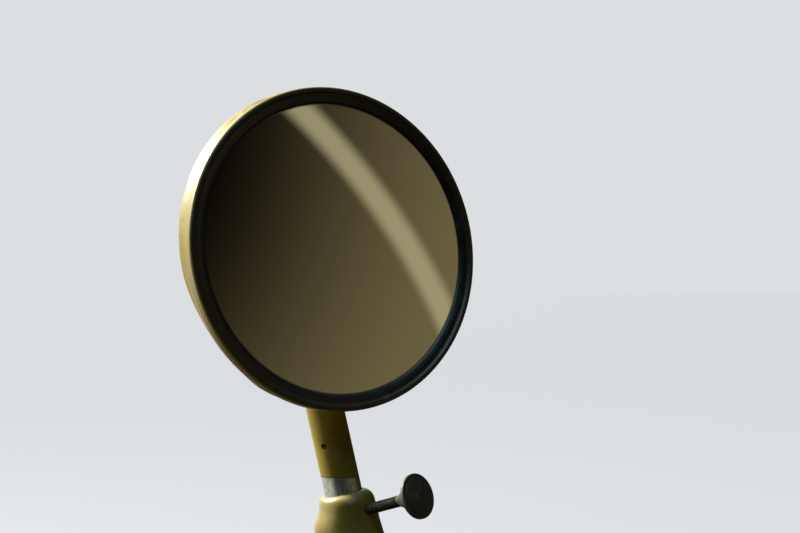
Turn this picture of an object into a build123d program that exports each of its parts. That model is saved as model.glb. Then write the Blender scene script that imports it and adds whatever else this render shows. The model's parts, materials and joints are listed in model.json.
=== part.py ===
from build123d import *
import os
from math import cos, radians, sin, sqrt

# Round exterior rear-view mirror on a telescoping, leaning stem, with the bracket that carries it.
# Row frame: origin at the middle of the bracket's two bolt holes, on the pad's face.
# +X points inboard, into the surface that the pad is bolted to. +Y is forward and +Z is up.
# The mirror is parked looking back, turned inboard, with its stem leaning outboard.
# All lengths are in millimetres and all angles in degrees.

# Parked pose
STEM_LEAN = 12.5        # the stem's top leans outboard by this
HEAD_TURN = 33.0        # the glass is turned from straight back towards inboard by this, round the stem
SCREW_TURN = 50.5       # the thumb screw stands this far round the stem, from straight back to inboard
SCREW_RISE = 7.0        # the thumb screw tips up by this from square to the stem

# Fits
RUNNING = 0.05          # radial clearance of a turning or sliding fit
SEAT = 0.05             # clearance of pieces that sit in each other without moving
FACE_GAP = 0.1          # gap between flat faces that turn past each other
TIP_GAP = 0.5           # gap from the thumb screw's tip to the stem

# Bracket: pad with two bolt holes, and an arm that tapers to a waist and swells to the socket
BOLT_SPACING = 50.0
BOLT_HOLE_R = 4.5
PAD_END = 12.0          # from a bolt hole's middle to the pad's end
PAD_WIDTH = 36.0
PAD_THICK = 9.0
PAD_CORNER = 12.0
PAD_EDGE = 2.2
ARM_REACH = 108.0       # from the pad's face to where the arm meets the stem's axis
ARM_RISE = 22.0         # that meeting point stands this far above the bolt pattern's middle
ARM_WAIST_AT = 48.0
ARM_WAIST_RISE = 5.5
ARM_ROOT_HALF = (13.0, 21.0)    # half width and half height of the arm's section
ARM_WAIST_HALF = (9.0, 12.0)
ARM_TIP_HALF = (10.0, 13.0)

# Socket that holds the stem: walls are measured from the stem's surface
SOCKET_LENGTH = 62.0
SOCKET_ARM_DEPTH = 42.0         # the arm meets the socket's axis this far below its mouth
SOCKET_TOP_LENGTH = 7.0
SOCKET_TOP_WALL = 4.8
SOCKET_SHOULDER_R = 3.8
SOCKET_FLARE_DEPTH = 18.0
SOCKET_FLARE_WALL = 6.7
SOCKET_FLARE_SHIFT = 1.2        # the flare swells outboard
SOCKET_WAIST_DEPTH = 31.0
SOCKET_WAIST_WALL = 8.2
SOCKET_ROOT_DEPTH = 46.0
SOCKET_ROOT_WALL = 8.5
SOCKET_ROOT_SHIFT = 1.6
SOCKET_FOOT_FILLET = 3.0

# Stem
STEM_D = 17.0
STEM_WALL = 1.6
MOUTH_TO_HEAD = 107.4           # from the socket's mouth up to the head's pivot
STEM_ABOVE_PIVOT = 15.0
SLIDE_UP = 40.0                 # the stem can be drawn out by this before its pin stops it
STOP_PIN_D = 3.0
STOP_PIN_PROUD = 4.5            # the pin stands this far out of the stem on each side
STOP_PIN_MARGIN = 1.0           # what is left between pin and socket at the end of the travel
STEM_BELOW_PIN = 6.0
CAP_SPIGOT = 8.0
CAP_FLANGE = 1.2
CAP_CROWN = 3.2

# Thumb screw
SCREW_DEPTH = 10.2              # its axis crosses the stem's axis this far below the mouth
SCREW_SHANK_D = 5.0
SCREW_TIP_STEP = 0.7            # the dog point is this much thinner all round
SCREW_TIP_CHAMFER = 0.8
SCREW_HEAD_D = 20.0
SCREW_HEAD_AT = 42.6            # from the stem's axis to the middle of the head's edge
SCREW_HEAD_EDGE = 1.4
SCREW_FLARE = 9.1               # length of the flare behind the head
SCREW_NECK_STEP = 0.5
SCREW_NECK_LENGTH = 0.6
SCREW_CROWN = 1.5
SCREW_MARGIN = 1.3              # plain margin round the head's crown

# Swivel collar, clamped round the stem
COLLAR_WALL = 4.0
COLLAR_HEIGHT = 22.0
COLLAR_EDGE = 1.2
COLLAR_SLOT = 2.0
LUG_THICK = 4.5
LUG_REACH = 11.5                # the lugs stand this far out of the collar
LUG_HEIGHT = 17.0
LUG_ROUND = 4.25
CLAMP_OUT = 6.0                 # the clamp bolt's axis lies this far out of the collar
CLAMP_D = 5.0
CLAMP_HEX = 8.0                 # across flats
CLAMP_HEAD = 3.5
CLAMP_NUT = 4.0
CLAMP_TAIL = 2.0
BOSS_D = 13.0
BOSS_STAND = 1.5                # the trunnion bosses stand this far out of the collar
PIVOT_D = 6.0
PIVOT_HEX = 10.0
PIVOT_HEAD = 4.0
PIVOT_INNER = 0.8               # the pivot screws end this far from the stem's surface
WASHER_D = 13.0
FRICTION_WASHER = 1.2
SPRING_WASHER = 1.0
SPRING_WASHER_D = 11.0

# Yoke on the head's back
PIVOT_STAND = 23.5              # from the shell's seat back to the pivot
YOKE_THICK = 3.0
YOKE_HEIGHT = 30.0
YOKE_CORNER = 6.0
YOKE_MARGIN = 4.5               # from the rivets' middles to the plate's ends
EAR_END_R = 7.0
EAR_ROOT_HALF = 11.0
RIVET_OUT = 4.2                 # from the ears' outer faces to the rivets' middles
RIVET_UP = 9.0                  # half the rivets' spacing along the stem
RIVET_D = 4.0
RIVET_HEAD_D = 7.6
RIVET_HEAD = 2.2
RIVET_TAIL_D = 6.4
RIVET_TAIL = 1.2

# Head: depths are measured back from the rim's front plane
RIM_D = 140.0
RIM_SKIRT = 4.5
RIM_SHEET = 0.95
RIM_FRONT = 1.2
RIM_FACE = 3.6                  # width of the rim's front face
RIM_ROLL = 0.9
SEAL_BEVEL = 3.7                # width of the seal that shows inside the rim
SEAL_CROWN_DEPTH = 0.7
SEAL_CROWN_IN = 0.8             # the bevel starts this far inside the rim's lip
SEAL_EDGE = 0.15                # thickness of the seal's feather edge
SEAL_FLANGE = 1.2
SEAL_HOLD = 1.5                 # the seal's back flange covers this much of the glass
GLASS_COVER = 2.5               # the seal covers this much of the glass's edge
GLASS_THICK = 3.0
GLASS_CURVE = 500.0             # radius of the convex face
GLASS_EDGE_DEPTH = 1.9          # depth of the convex face at the seal's feather edge
SHELL_SHEET = 1.2
SHELL_CLEAR = 0.5               # the shell's wall runs straight to this far behind the seal
SHELL_LEAN_LENGTH = 5.0         # then leans up the stem over this length
SHELL_RISE = 2.3                # and so its shoulder stands this much higher than its mouth
SHELL_DRAFT = 0.2
SHELL_HEEL_DEPTH = 5.6          # the rounded shoulder is this deep
SHELL_HEEL_IN = 7.3             # and this wide
SHELL_DISH = 1.9                # the back falls by this from the shoulder to its flat seat
SHELL_SEAT_R = 32.0

lean = radians(STEM_LEAN)
turn = radians(HEAD_TURN)
screw_turn = radians(SCREW_TURN)
screw_rise = radians(SCREW_RISE)
stem_up = Vector(-sin(lean), 0, cos(lean))
stem_in = Vector(cos(lean), 0, sin(lean))
backward = Vector(0, -1, 0)
glass_out = backward * cos(turn) + stem_in * sin(turn)
pivot_side = stem_up.cross(glass_out)
screw_level = backward * cos(screw_turn) + stem_in * sin(screw_turn)
screw_out = screw_level * cos(screw_rise) + stem_up * sin(screw_rise)

stem_r = STEM_D / 2
stem_top = MOUTH_TO_HEAD + STEM_ABOVE_PIVOT
stop_pin_at = -(SOCKET_LENGTH + SLIDE_UP + STOP_PIN_MARGIN + STOP_PIN_D / 2)
stem_foot = stop_pin_at - STEM_BELOW_PIN
screw_r = SCREW_SHANK_D / 2

# Radii of the head's rings, from the rim inwards
rim_r = RIM_D / 2
mouth_r = rim_r - RIM_SHEET - SEAT
rim_lip_r = rim_r - RIM_FACE
seal_inner_r = rim_lip_r - SEAL_BEVEL
glass_r = seal_inner_r + GLASS_COVER


def glass_depth(radius, back=0.0):
    """Depth of the convex face, or of the parallel face behind it, at the given radius."""
    centre = GLASS_EDGE_DEPTH + sqrt(GLASS_CURVE**2 - seal_inner_r**2)
    return centre - sqrt((GLASS_CURVE - back) ** 2 - radius**2)


# Depths of the head's steps, from the rim's front plane backwards
groove_back = glass_depth(glass_r, GLASS_THICK) + SEAT
seal_back = groove_back + SEAL_FLANGE
straight_depth = seal_back + SHELL_CLEAR
shoulder_depth = straight_depth + SHELL_LEAN_LENGTH
heel_depth = shoulder_depth + SHELL_HEEL_DEPTH
seat_depth = heel_depth + SHELL_DISH
pivot_depth = seat_depth + PIVOT_STAND
shoulder_r = mouth_r - SHELL_DRAFT

# Distances from the stem's axis along the tilt axis
collar_r = stem_r + COLLAR_WALL
boss_face = collar_r + BOSS_STAND
ear_inner = boss_face + FRICTION_WASHER + FACE_GAP
ear_outer = ear_inner + YOKE_THICK
spring_start = ear_outer + FACE_GAP
screw_head_start = spring_start + SPRING_WASHER
rivet_x = ear_outer + RIVET_OUT
clamp_face = COLLAR_SLOT / 2 + LUG_THICK

# The yoke's plate, along the swivel frame's y
plate_front = -PIVOT_STAND
plate_back = plate_front + YOKE_THICK
rivet_places = [(x, z) for x in (-rivet_x, rivet_x) for z in (-RIVET_UP, RIVET_UP)]

arm_meets = Vector(-ARM_REACH, 0, ARM_RISE)
mouth = arm_meets + stem_up * SOCKET_ARM_DEPTH
pivot = mouth + stem_up * MOUTH_TO_HEAD
rim_centre = pivot + glass_out * pivot_depth
screw_foot = mouth - stem_up * SCREW_DEPTH

# Column frame: z up the stem from the socket's mouth, x inboard, y forward
column = Location(Plane(origin=mouth, x_dir=stem_in, z_dir=stem_up))
# Swivel frame: z up the stem from the pivot, x along the tilt axis, y away from the glass
swivel = Location(Plane(origin=pivot, x_dir=pivot_side, z_dir=stem_up))
# Head frame: z out of the glass from the rim's front plane, x along the tilt axis, y up the stem
head = Location(Plane(origin=rim_centre, x_dir=pivot_side, z_dir=glass_out))
# Screw frame: z out along the thumb screw from the stem's axis
screw = Location(Plane(origin=screw_foot, x_dir=screw_level.cross(stem_up), z_dir=screw_out))


def turned(*outline):
    """Solid of revolution about Z from edges drawn as (radius, height) in the XZ plane."""
    return revolve(Plane.XZ * make_face(outline), Axis.Z)


def crown(radius, height, rise):
    """Ball-shaped dome edge from (radius, height) up to the axis, for a turned outline."""
    ball_r = (radius**2 + rise**2) / (2 * rise)
    centre = height + rise - ball_r
    middle = (radius / 2, centre + sqrt(ball_r**2 - radius**2 / 4))
    return ThreePointArc((radius, height), middle, (0, height + rise))


def along_x(radius, start, end):
    """Round bar along X from start to end."""
    middle = (start + end) / 2
    return Pos(middle, 0, 0) * Rot(0, 90, 0) * Cylinder(radius, abs(end - start))


def hex_along_x(across, start, end):
    """Hexagonal bar along X from start to end, given its size across flats."""
    flat = RegularPolygon(across / 2, 6, major_radius=False)
    return extrude(Plane.YZ.offset(min(start, end)) * flat, abs(end - start))


def both_sides(piece):
    """The piece and its copy turned half round the stem, as one compound."""
    return Compound([swivel * piece, swivel * Rot(0, 0, 180) * piece])


def socket_body():
    """Socket before boring: round shoulder, flare that swells outboard, straight root."""
    top_r = stem_r + SOCKET_TOP_WALL
    root_r = stem_r + SOCKET_ROOT_WALL
    top = Pos(0, 0, -SOCKET_TOP_LENGTH / 2) * Cylinder(top_r, SOCKET_TOP_LENGTH)
    top = fillet(top.edges().sort_by(Axis.Z)[-1], SOCKET_SHOULDER_R)
    # columns: depth below the mouth, wall, shift outboard
    rings = [
        (SOCKET_TOP_LENGTH, SOCKET_TOP_WALL, 0.0),
        (SOCKET_FLARE_DEPTH, SOCKET_FLARE_WALL, SOCKET_FLARE_SHIFT),
        (SOCKET_WAIST_DEPTH, SOCKET_WAIST_WALL, SOCKET_ROOT_SHIFT),
        (SOCKET_ROOT_DEPTH, SOCKET_ROOT_WALL, SOCKET_ROOT_SHIFT),
    ]
    flare = loft([Pos(-shift, 0, -depth) * Circle(stem_r + wall) for depth, wall, shift in rings])
    root_length = SOCKET_LENGTH - SOCKET_ROOT_DEPTH
    root = Cylinder(root_r, root_length)
    root = fillet(root.edges().sort_by(Axis.Z)[0], SOCKET_FOOT_FILLET)
    root = Pos(-SOCKET_ROOT_SHIFT, 0, -SOCKET_ROOT_DEPTH - root_length / 2) * root
    return column * (top + flare + root)


def make_bracket_arm():
    """Pad with two bolt holes and a tapering arm that rises to the socket."""
    pad_height = BOLT_SPACING + 2 * PAD_END
    pad = extrude(Plane.YZ * RectangleRounded(PAD_WIDTH, pad_height, PAD_CORNER), -PAD_THICK)
    pad = fillet(pad.edges().group_by(Axis.X)[0], PAD_EDGE)
    # columns: x, height, half width and half height
    sections = [
        (-PAD_THICK / 2, 0.0, ARM_ROOT_HALF),
        (-ARM_WAIST_AT, ARM_WAIST_RISE, ARM_WAIST_HALF),
        (-ARM_REACH, ARM_RISE, ARM_TIP_HALF),
    ]
    arm = loft([Pos(x, 0, height) * (Plane.YZ * Ellipse(*half)) for x, height, half in sections])
    body = (pad + arm) - socket_body()
    for side in (-1, 1):
        hole = along_x(BOLT_HOLE_R, -PAD_THICK - 1, 1)
        body -= Pos(0, 0, side * BOLT_SPACING / 2) * hole
    return body


def make_socket():
    """Socket bored for the stem and drilled for the thumb screw."""
    bore = Pos(0, 0, -SOCKET_LENGTH / 2) * Cylinder(stem_r + RUNNING, SOCKET_LENGTH + 2)
    drill_length = 2 * (stem_r + SOCKET_ROOT_WALL)
    drilled = Pos(0, 0, drill_length / 2) * Cylinder(screw_r + RUNNING, drill_length)
    return socket_body() - column * bore - screw * drilled


def make_thumb_screw():
    """Turned screw: dog point, shank, concave flare and a round, slightly domed head."""
    tip = stem_r + TIP_GAP
    tip_r = screw_r - SCREW_TIP_STEP
    head_r = SCREW_HEAD_D / 2
    back = SCREW_HEAD_AT - SCREW_HEAD_EDGE / 2
    front = SCREW_HEAD_AT + SCREW_HEAD_EDGE / 2
    neck_at = back - SCREW_FLARE
    neck_r = screw_r + SCREW_NECK_STEP
    flare_start = (neck_r, neck_at + SCREW_NECK_LENGTH)
    shank = Polyline((0, tip), (tip_r, tip), (screw_r, tip + SCREW_TIP_CHAMFER), (screw_r, neck_at), flare_start)
    sag = (neck_r + 0.27 * (head_r - neck_r), back - 0.42 * SCREW_FLARE)
    flare = ThreePointArc(flare_start, sag, (head_r, back))
    margin_r = head_r - SCREW_MARGIN
    face = front + SCREW_MARGIN / 5
    edge = Polyline((head_r, back), (head_r, front), (margin_r, face))
    dome = crown(margin_r, face, SCREW_CROWN)
    return screw * turned(shank, flare, edge, dome, Line((0, face + SCREW_CROWN), (0, tip)))


def make_stem_tube():
    """Straight tube, cross-drilled near its foot for the stop pin."""
    length = stem_top - stem_foot
    middle = (stem_top + stem_foot) / 2
    tube = Cylinder(stem_r, length) - Cylinder(stem_r - STEM_WALL, length)
    cross = Rot(90, 0, 0) * Cylinder(STOP_PIN_D / 2 + SEAT, STEM_D + 2)
    return column * (Pos(0, 0, middle) * tube - Pos(0, 0, stop_pin_at) * cross)


def make_stop_pin():
    """Cross pin that keeps the stem from being drawn out of the socket."""
    pin = Cylinder(STOP_PIN_D / 2, STEM_D + 2 * STOP_PIN_PROUD)
    pin = chamfer(pin.edges(), STOP_PIN_D / 8)
    return column * Pos(0, 0, stop_pin_at) * Rot(90, 0, 0) * pin


def make_stem_cap():
    """Domed cap pressed into the stem's open top."""
    spigot_r = stem_r - STEM_WALL - SEAT
    low = stem_top - CAP_SPIGOT
    rim = stem_top + CAP_FLANGE
    base = Polyline((0, low), (spigot_r, low), (spigot_r, stem_top), (stem_r, stem_top), (stem_r, rim))
    return column * turned(base, crown(stem_r, rim, CAP_CROWN), Line((0, rim + CAP_CROWN), (0, low)))


def make_swivel_collar():
    """Split collar with two clamp lugs behind the stem and a trunnion boss each side."""
    barrel = Cylinder(collar_r, COLLAR_HEIGHT)
    barrel = chamfer(barrel.edges(), COLLAR_EDGE)
    boss = along_x(BOSS_D / 2, -boss_face, boss_face)
    lug_end = collar_r + LUG_REACH
    lugs = Box(2 * clamp_face, lug_end - stem_r, LUG_HEIGHT)
    lugs = fillet(lugs.edges().filter_by(Axis.X).group_by(Axis.Y)[-1], LUG_ROUND)
    lugs = Pos(0, (stem_r + lug_end) / 2, 0) * lugs
    slot = Pos(0, lug_end / 2 + 1, 0) * Box(COLLAR_SLOT, lug_end + 2, COLLAR_HEIGHT + 2)
    bore = Cylinder(stem_r + RUNNING, COLLAR_HEIGHT + 2)
    clamp_hole = Pos(0, collar_r + CLAMP_OUT, 0) * along_x(CLAMP_D / 2 + SEAT, -clamp_face - 1, clamp_face + 1)
    pivot_hole = along_x(PIVOT_D / 2 + SEAT, -boss_face - 1, boss_face + 1)
    return swivel * (barrel + boss + lugs - slot - bore - clamp_hole - pivot_hole)


def make_clamp_bolt():
    """Hexagon bolt across the two clamp lugs."""
    shank = along_x(CLAMP_D / 2, -clamp_face - CLAMP_NUT - CLAMP_TAIL, clamp_face)
    bolt = shank + hex_along_x(CLAMP_HEX, clamp_face, clamp_face + CLAMP_HEAD)
    return swivel * Pos(0, collar_r + CLAMP_OUT, 0) * bolt


def make_clamp_nut():
    """Nut on the clamp bolt."""
    nut = hex_along_x(CLAMP_HEX, -clamp_face - CLAMP_NUT, -clamp_face)
    hole = along_x(CLAMP_D / 2 + SEAT, -clamp_face - CLAMP_NUT - 1, -clamp_face + 1)
    return swivel * Pos(0, collar_r + CLAMP_OUT, 0) * (nut - hole)


def make_pivot_screws():
    """Two shoulder screws that carry the yoke's ears."""
    shank = along_x(PIVOT_D / 2, stem_r + PIVOT_INNER, screw_head_start)
    return both_sides(shank + hex_along_x(PIVOT_HEX, screw_head_start, screw_head_start + PIVOT_HEAD))


def washer(outer_d, start, thick):
    """Flat ring round the pivot screw."""
    ring = along_x(outer_d / 2, start, start + thick)
    return ring - along_x(PIVOT_D / 2 + SEAT, start - 1, start + thick + 1)


def make_friction_washers():
    """Fibre washers between the bosses and the yoke's ears."""
    return both_sides(washer(WASHER_D, boss_face, FRICTION_WASHER))


def make_spring_washers():
    """Washers under the heads of the pivot screws."""
    return both_sides(washer(SPRING_WASHER_D, spring_start, SPRING_WASHER))


def rivet_hole(x, z, length):
    """Drill through plate and shell at one rivet's place."""
    return Pos(x, plate_front, z) * Rot(90, 0, 0) * Cylinder(RIVET_D / 2 + SEAT, length)


def make_yoke():
    """Plate riveted to the shell's back, with two ears bent back to the pivot screws."""
    outline = RectangleRounded(2 * (rivet_x + YOKE_MARGIN), YOKE_HEIGHT, YOKE_CORNER)
    body = extrude(Plane.XZ.offset(-plate_front) * outline, -YOKE_THICK)
    corners = [(plate_front, EAR_ROOT_HALF), (0, EAR_END_R), (0, -EAR_END_R), (plate_front, -EAR_ROOT_HALF)]
    ear = make_face(Polyline(*corners, close=True)) + Circle(EAR_END_R)
    for start in (ear_inner, -ear_outer):
        body += extrude(Plane.YZ.offset(start) * ear, YOKE_THICK)
    body -= along_x(PIVOT_D / 2 + RUNNING, -ear_outer - 1, ear_outer + 1)
    for x, z in rivet_places:
        body -= rivet_hole(x, z, 4 * YOKE_THICK)
    return swivel * body


def make_rivets():
    """Four rivets through the yoke's plate and the shell, domed outside."""
    inside = plate_front - SHELL_SHEET
    tail_end = inside - RIVET_TAIL
    tail_r = RIVET_TAIL_D / 2
    shank_r = RIVET_D / 2
    head_r = RIVET_HEAD_D / 2
    tail = Polyline((0, tail_end), (tail_r, tail_end), (tail_r, inside), (shank_r, inside))
    shank = Polyline((shank_r, inside), (shank_r, plate_back), (head_r, plate_back))
    dome = crown(head_r, plate_back, RIVET_HEAD)
    rivet = turned(tail, shank, dome, Line((0, plate_back + RIVET_HEAD), (0, tail_end)))
    return Compound([swivel * Pos(x, 0, z) * Rot(-90, 0, 0) * rivet for x, z in rivet_places])


def dish(inset):
    """Filled dish shape, drawn in by the given sheet thickness, open side at the rim."""
    front = RIM_FRONT + SEAT
    straight = straight_depth - front
    wall = Pos(0, 0, -front - straight / 2) * Cylinder(mouth_r - inset, straight)
    wall += loft([
        Pos(0, 0, -straight_depth) * Circle(mouth_r - inset),
        Pos(0, SHELL_RISE, -shoulder_depth) * Circle(shoulder_r - inset),
    ])
    start = (shoulder_r - inset, -shoulder_depth)
    heel = (shoulder_r - SHELL_HEEL_IN - 0.7 * inset, 0.7 * inset - heel_depth)
    run_in = start[0] - heel[0]
    run_back = start[1] - heel[1]
    bulge = (heel[0] + 0.74 * run_in, start[1] - 0.62 * run_back)
    seat = (SHELL_SEAT_R, inset - seat_depth)
    back = turned(
        Line((0, start[1]), start),
        ThreePointArc(start, bulge, heel),
        Polyline(heel, seat, (0, seat[1]), (0, start[1])),
    )
    return wall + Pos(0, SHELL_RISE, 0) * back


def make_shell():
    """Pressed dish: straight wall, leaning shoulder, shallow back with a flat seat."""
    body = head * (dish(0) - dish(SHELL_SHEET))
    for x, z in rivet_places:
        body -= swivel * rivet_hole(x, z, 4 * SHELL_SHEET)
    return body


def make_rim():
    """Ring rolled over the shell's edge, with a short lip over the seal."""
    section = Polyline(
        (rim_r, -RIM_SKIRT),
        (rim_r, 0),
        (rim_lip_r, 0),
        (rim_lip_r, -RIM_FRONT),
        (rim_r - RIM_SHEET, -RIM_FRONT),
        (rim_r - RIM_SHEET, -RIM_SKIRT),
        close=True,
    )
    ring = turned(section)
    return head * fillet(ring.edges().group_by(Axis.Z)[-1], RIM_ROLL)


def make_seal():
    """Rubber channel round the glass, with a smooth bevel from the rim's lip to the glass."""
    outer_r = mouth_r - SHELL_SHEET - 2 * SEAT
    lip_r = rim_lip_r - SEAT
    groove_r = glass_r + SEAT
    hold_r = glass_r - SEAL_HOLD
    under = RIM_FRONT + SEAT
    edge_depth = GLASS_EDGE_DEPTH - SEAT
    section = Polyline(
        (outer_r, -under),
        (lip_r, -under),
        (lip_r, -SEAL_CROWN_DEPTH),
        (rim_lip_r - SEAL_CROWN_IN, -SEAL_CROWN_DEPTH + 0.1),
        (seal_inner_r, -edge_depth + SEAL_EDGE),
        (seal_inner_r, -edge_depth),
        (groove_r, -(glass_depth(glass_r) - SEAT)),
        (groove_r, -groove_back),
        (hold_r, -groove_back),
        (hold_r, -seal_back),
        (outer_r, -seal_back),
        close=True,
    )
    return head * turned(section)


def make_mirror_glass():
    """Convex disc of even thickness."""
    half = glass_r / 2
    front = [(r, -glass_depth(r)) for r in (0, half, glass_r)]
    back = [(r, -glass_depth(r, GLASS_THICK)) for r in (glass_r, half, 0)]
    edges = ThreePointArc(*front), Line(front[-1], back[0]), ThreePointArc(*back), Line(back[-1], front[0])
    return head * turned(*edges)


NODES = {
    "bracket_arm": make_bracket_arm,
    "socket": make_socket,
    "thumb_screw": make_thumb_screw,
    "stem_tube": make_stem_tube,
    "stem_cap": make_stem_cap,
    "stop_pin": make_stop_pin,
    "swivel_collar": make_swivel_collar,
    "clamp_bolt": make_clamp_bolt,
    "clamp_nut": make_clamp_nut,
    "pivot_screws": make_pivot_screws,
    "friction_washers": make_friction_washers,
    "spring_washers": make_spring_washers,
    "yoke": make_yoke,
    "rivets": make_rivets,
    "shell": make_shell,
    "rim": make_rim,
    "seal": make_seal,
    "mirror_glass": make_mirror_glass,
}

os.makedirs("parts", exist_ok=True)
for name, make in NODES.items():
    shape = make()
    export_step(shape, f"parts/{name}.step")
    print(name, "volume", round(shape.volume, 1))
print("pivot depth", round(pivot_depth, 3), "seat depth", round(seat_depth, 3))
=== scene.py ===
import json
import logging
from dataclasses import dataclass
from enum import Enum
from typing import Any, Sequence

import bpy
import numpy as np
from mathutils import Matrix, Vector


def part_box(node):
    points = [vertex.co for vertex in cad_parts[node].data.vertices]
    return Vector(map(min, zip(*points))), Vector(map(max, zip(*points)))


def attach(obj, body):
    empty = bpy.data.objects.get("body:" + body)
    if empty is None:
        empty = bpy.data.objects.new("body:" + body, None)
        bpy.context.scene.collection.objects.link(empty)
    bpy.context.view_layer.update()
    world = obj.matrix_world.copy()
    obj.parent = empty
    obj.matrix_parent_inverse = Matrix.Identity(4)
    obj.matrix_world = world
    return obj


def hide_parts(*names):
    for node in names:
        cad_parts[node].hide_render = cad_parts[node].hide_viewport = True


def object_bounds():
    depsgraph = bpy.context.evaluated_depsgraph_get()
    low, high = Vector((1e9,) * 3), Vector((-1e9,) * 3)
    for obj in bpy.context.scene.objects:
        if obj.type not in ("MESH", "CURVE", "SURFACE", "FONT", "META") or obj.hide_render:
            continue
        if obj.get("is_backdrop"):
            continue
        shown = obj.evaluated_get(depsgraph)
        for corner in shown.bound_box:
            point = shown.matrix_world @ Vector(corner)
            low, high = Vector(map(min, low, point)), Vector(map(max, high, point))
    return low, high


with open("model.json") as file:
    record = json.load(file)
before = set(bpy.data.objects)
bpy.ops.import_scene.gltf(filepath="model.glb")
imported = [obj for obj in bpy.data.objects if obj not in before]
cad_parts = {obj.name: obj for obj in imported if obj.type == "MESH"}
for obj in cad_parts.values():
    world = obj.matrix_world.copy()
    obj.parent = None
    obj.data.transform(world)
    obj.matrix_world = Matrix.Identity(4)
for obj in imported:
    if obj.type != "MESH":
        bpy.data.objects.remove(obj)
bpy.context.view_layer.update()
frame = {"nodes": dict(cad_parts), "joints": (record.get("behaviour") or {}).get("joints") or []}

log = logging.getLogger("mirror")

Array = np.ndarray
Socket = bpy.types.NodeSocket
Tree = bpy.types.NodeTree
MM = 0.001
FULL_TURN = 2 * np.pi
# Edges that turn by more degrees than this stay sharp
SHARP_DEG = 38.0


class Body(Enum):
    """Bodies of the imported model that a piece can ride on."""

    BRACKET = "bracket"
    LOCK_SCREW = "lock_screw"
    STEM = "stem"
    SWIVEL = "swivel"
    HEAD = "head"


class Slot(Enum):
    """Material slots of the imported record."""

    OLIVE = "olive_paint"
    DARK = "dark_paint"
    RUBBER = "rubber"
    MIRROR = "mirror"
    STEEL = "steel"
    FIBRE = "fibre"


class Ends(Enum):
    """How a grid's rows end: in themselves, as round a ring, or in a point at each end."""

    LOOP = "loop"
    POLES = "poles"


def smooth(value: Array, start: float, end: float) -> Array:
    """Eases from 0 at start to 1 at end: t squared times (3 - 2 t).

    Args:
        value: Where to ease.
        start: Value that gives 0.
        end: Value that gives 1.

    Returns:
        The eased values.
    """
    t = np.clip((value - start) / (end - start), 0, 1)
    return t * t * (3 - 2 * t)


@dataclass(frozen=True)
class Axes:
    """A local frame, whose lengths are in millimetres, in the row's frame.

    Attributes:
        origin: Its origin in the row's frame, in metres.
        turn: Its x, y and z directions, one in each row.
    """

    origin: Array
    turn: Array

    @staticmethod
    def along(origin: Array, z: Array, x_hint: Array) -> "Axes":
        """Makes axes from z and a hint: x is the hint less its part along z, y is z cross x.

        Args:
            origin: The origin, in metres.
            z: Direction of z.
            x_hint: Direction near x.

        Returns:
            The axes.
        """
        z = z / np.linalg.norm(z)
        x = x_hint - (x_hint @ z) * z
        x = x / np.linalg.norm(x)
        return Axes(origin, np.stack([x, np.cross(z, x), z]))

    def place(self, points: Array) -> Array:
        """Turns local millimetres into the row's metres: origin plus each coordinate along its axis."""
        return self.origin + MM * np.asarray(points, float) @ self.turn

    def local(self, points: Array) -> Array:
        """Turns the row's metres into local millimetres."""
        return (np.asarray(points, float) - self.origin) @ self.turn.T / MM

    def at(self, x: float = 0, y: float = 0, z: float = 0) -> "Axes":
        """Moves the origin by local millimetres."""
        return Axes(self.place([x, y, z]), self.turn)

    def facing(self, z: Sequence[float], x: Sequence[float]) -> "Axes":
        """Turns the axes so that z and x point along the given local directions."""
        return Axes.along(self.origin, np.array(z, float) @ self.turn, np.array(x, float) @ self.turn)


WORLD = Axes(np.zeros(3), np.eye(3))


def coordinates(mesh: bpy.types.Mesh) -> Array:
    """Reads a mesh's vertices, in metres."""
    flat = np.empty(3 * len(mesh.vertices), np.float32)
    mesh.vertices.foreach_get("co", flat)
    return flat.reshape(-1, 3).astype(float)


def reach(node: str, origin: Array, direction: Array) -> float:
    """Measures how far a node goes along a direction: the most of each vertex less the origin, times the direction.

    Args:
        node: Name of the CAD node.
        origin: Where to measure from, in metres.
        direction: Unit direction.

    Returns:
        Its farthest, in millimetres.
    """
    return float(((coordinates(frame["nodes"][node].data) - origin) @ direction).max() / MM)


@dataclass(frozen=True)
class Layout:
    """Lines of the real mechanism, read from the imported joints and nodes.

    Attributes:
        column: Origin at the head's pivot, z up the stem, x inboard and y forward.
        swivel: The same origin and z, with x along the tilt axis and y away from the glass.
        head: Origin in the rim's front plane, z out of the glass, x along the tilt axis.
        screw: Origin on the stem's axis, z out along the thumb screw.
        mouth: Height of the socket's mouth in the column's frame, in millimetres.
    """

    column: Axes
    swivel: Axes
    head: Axes
    screw: Axes
    mouth: float

    @staticmethod
    def read() -> "Layout":
        """Reads the joints' places and axes, and the rim's and the socket's fronts."""
        joints = {joint["name"]: joint for joint in frame["joints"]}
        up = np.array(joints["head_swivel"]["axis"], float)
        side = np.array(joints["head_tilt"]["axis"], float)
        pivot = np.array(joints["head_tilt"]["pos_m"], float)
        out = np.cross(side, up)
        screw = joints["screw_turn"]
        return Layout(
            column=Axes.along(pivot, up, np.array([1.0, 0, 0])),
            swivel=Axes.along(pivot, up, side),
            head=Axes.along(pivot + MM * reach("rim", pivot, out) * out, out, side),
            screw=Axes.along(np.array(screw["pos_m"], float), np.array(screw["axis"], float), up),
            mouth=reach("socket", pivot, up),
        )


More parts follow.
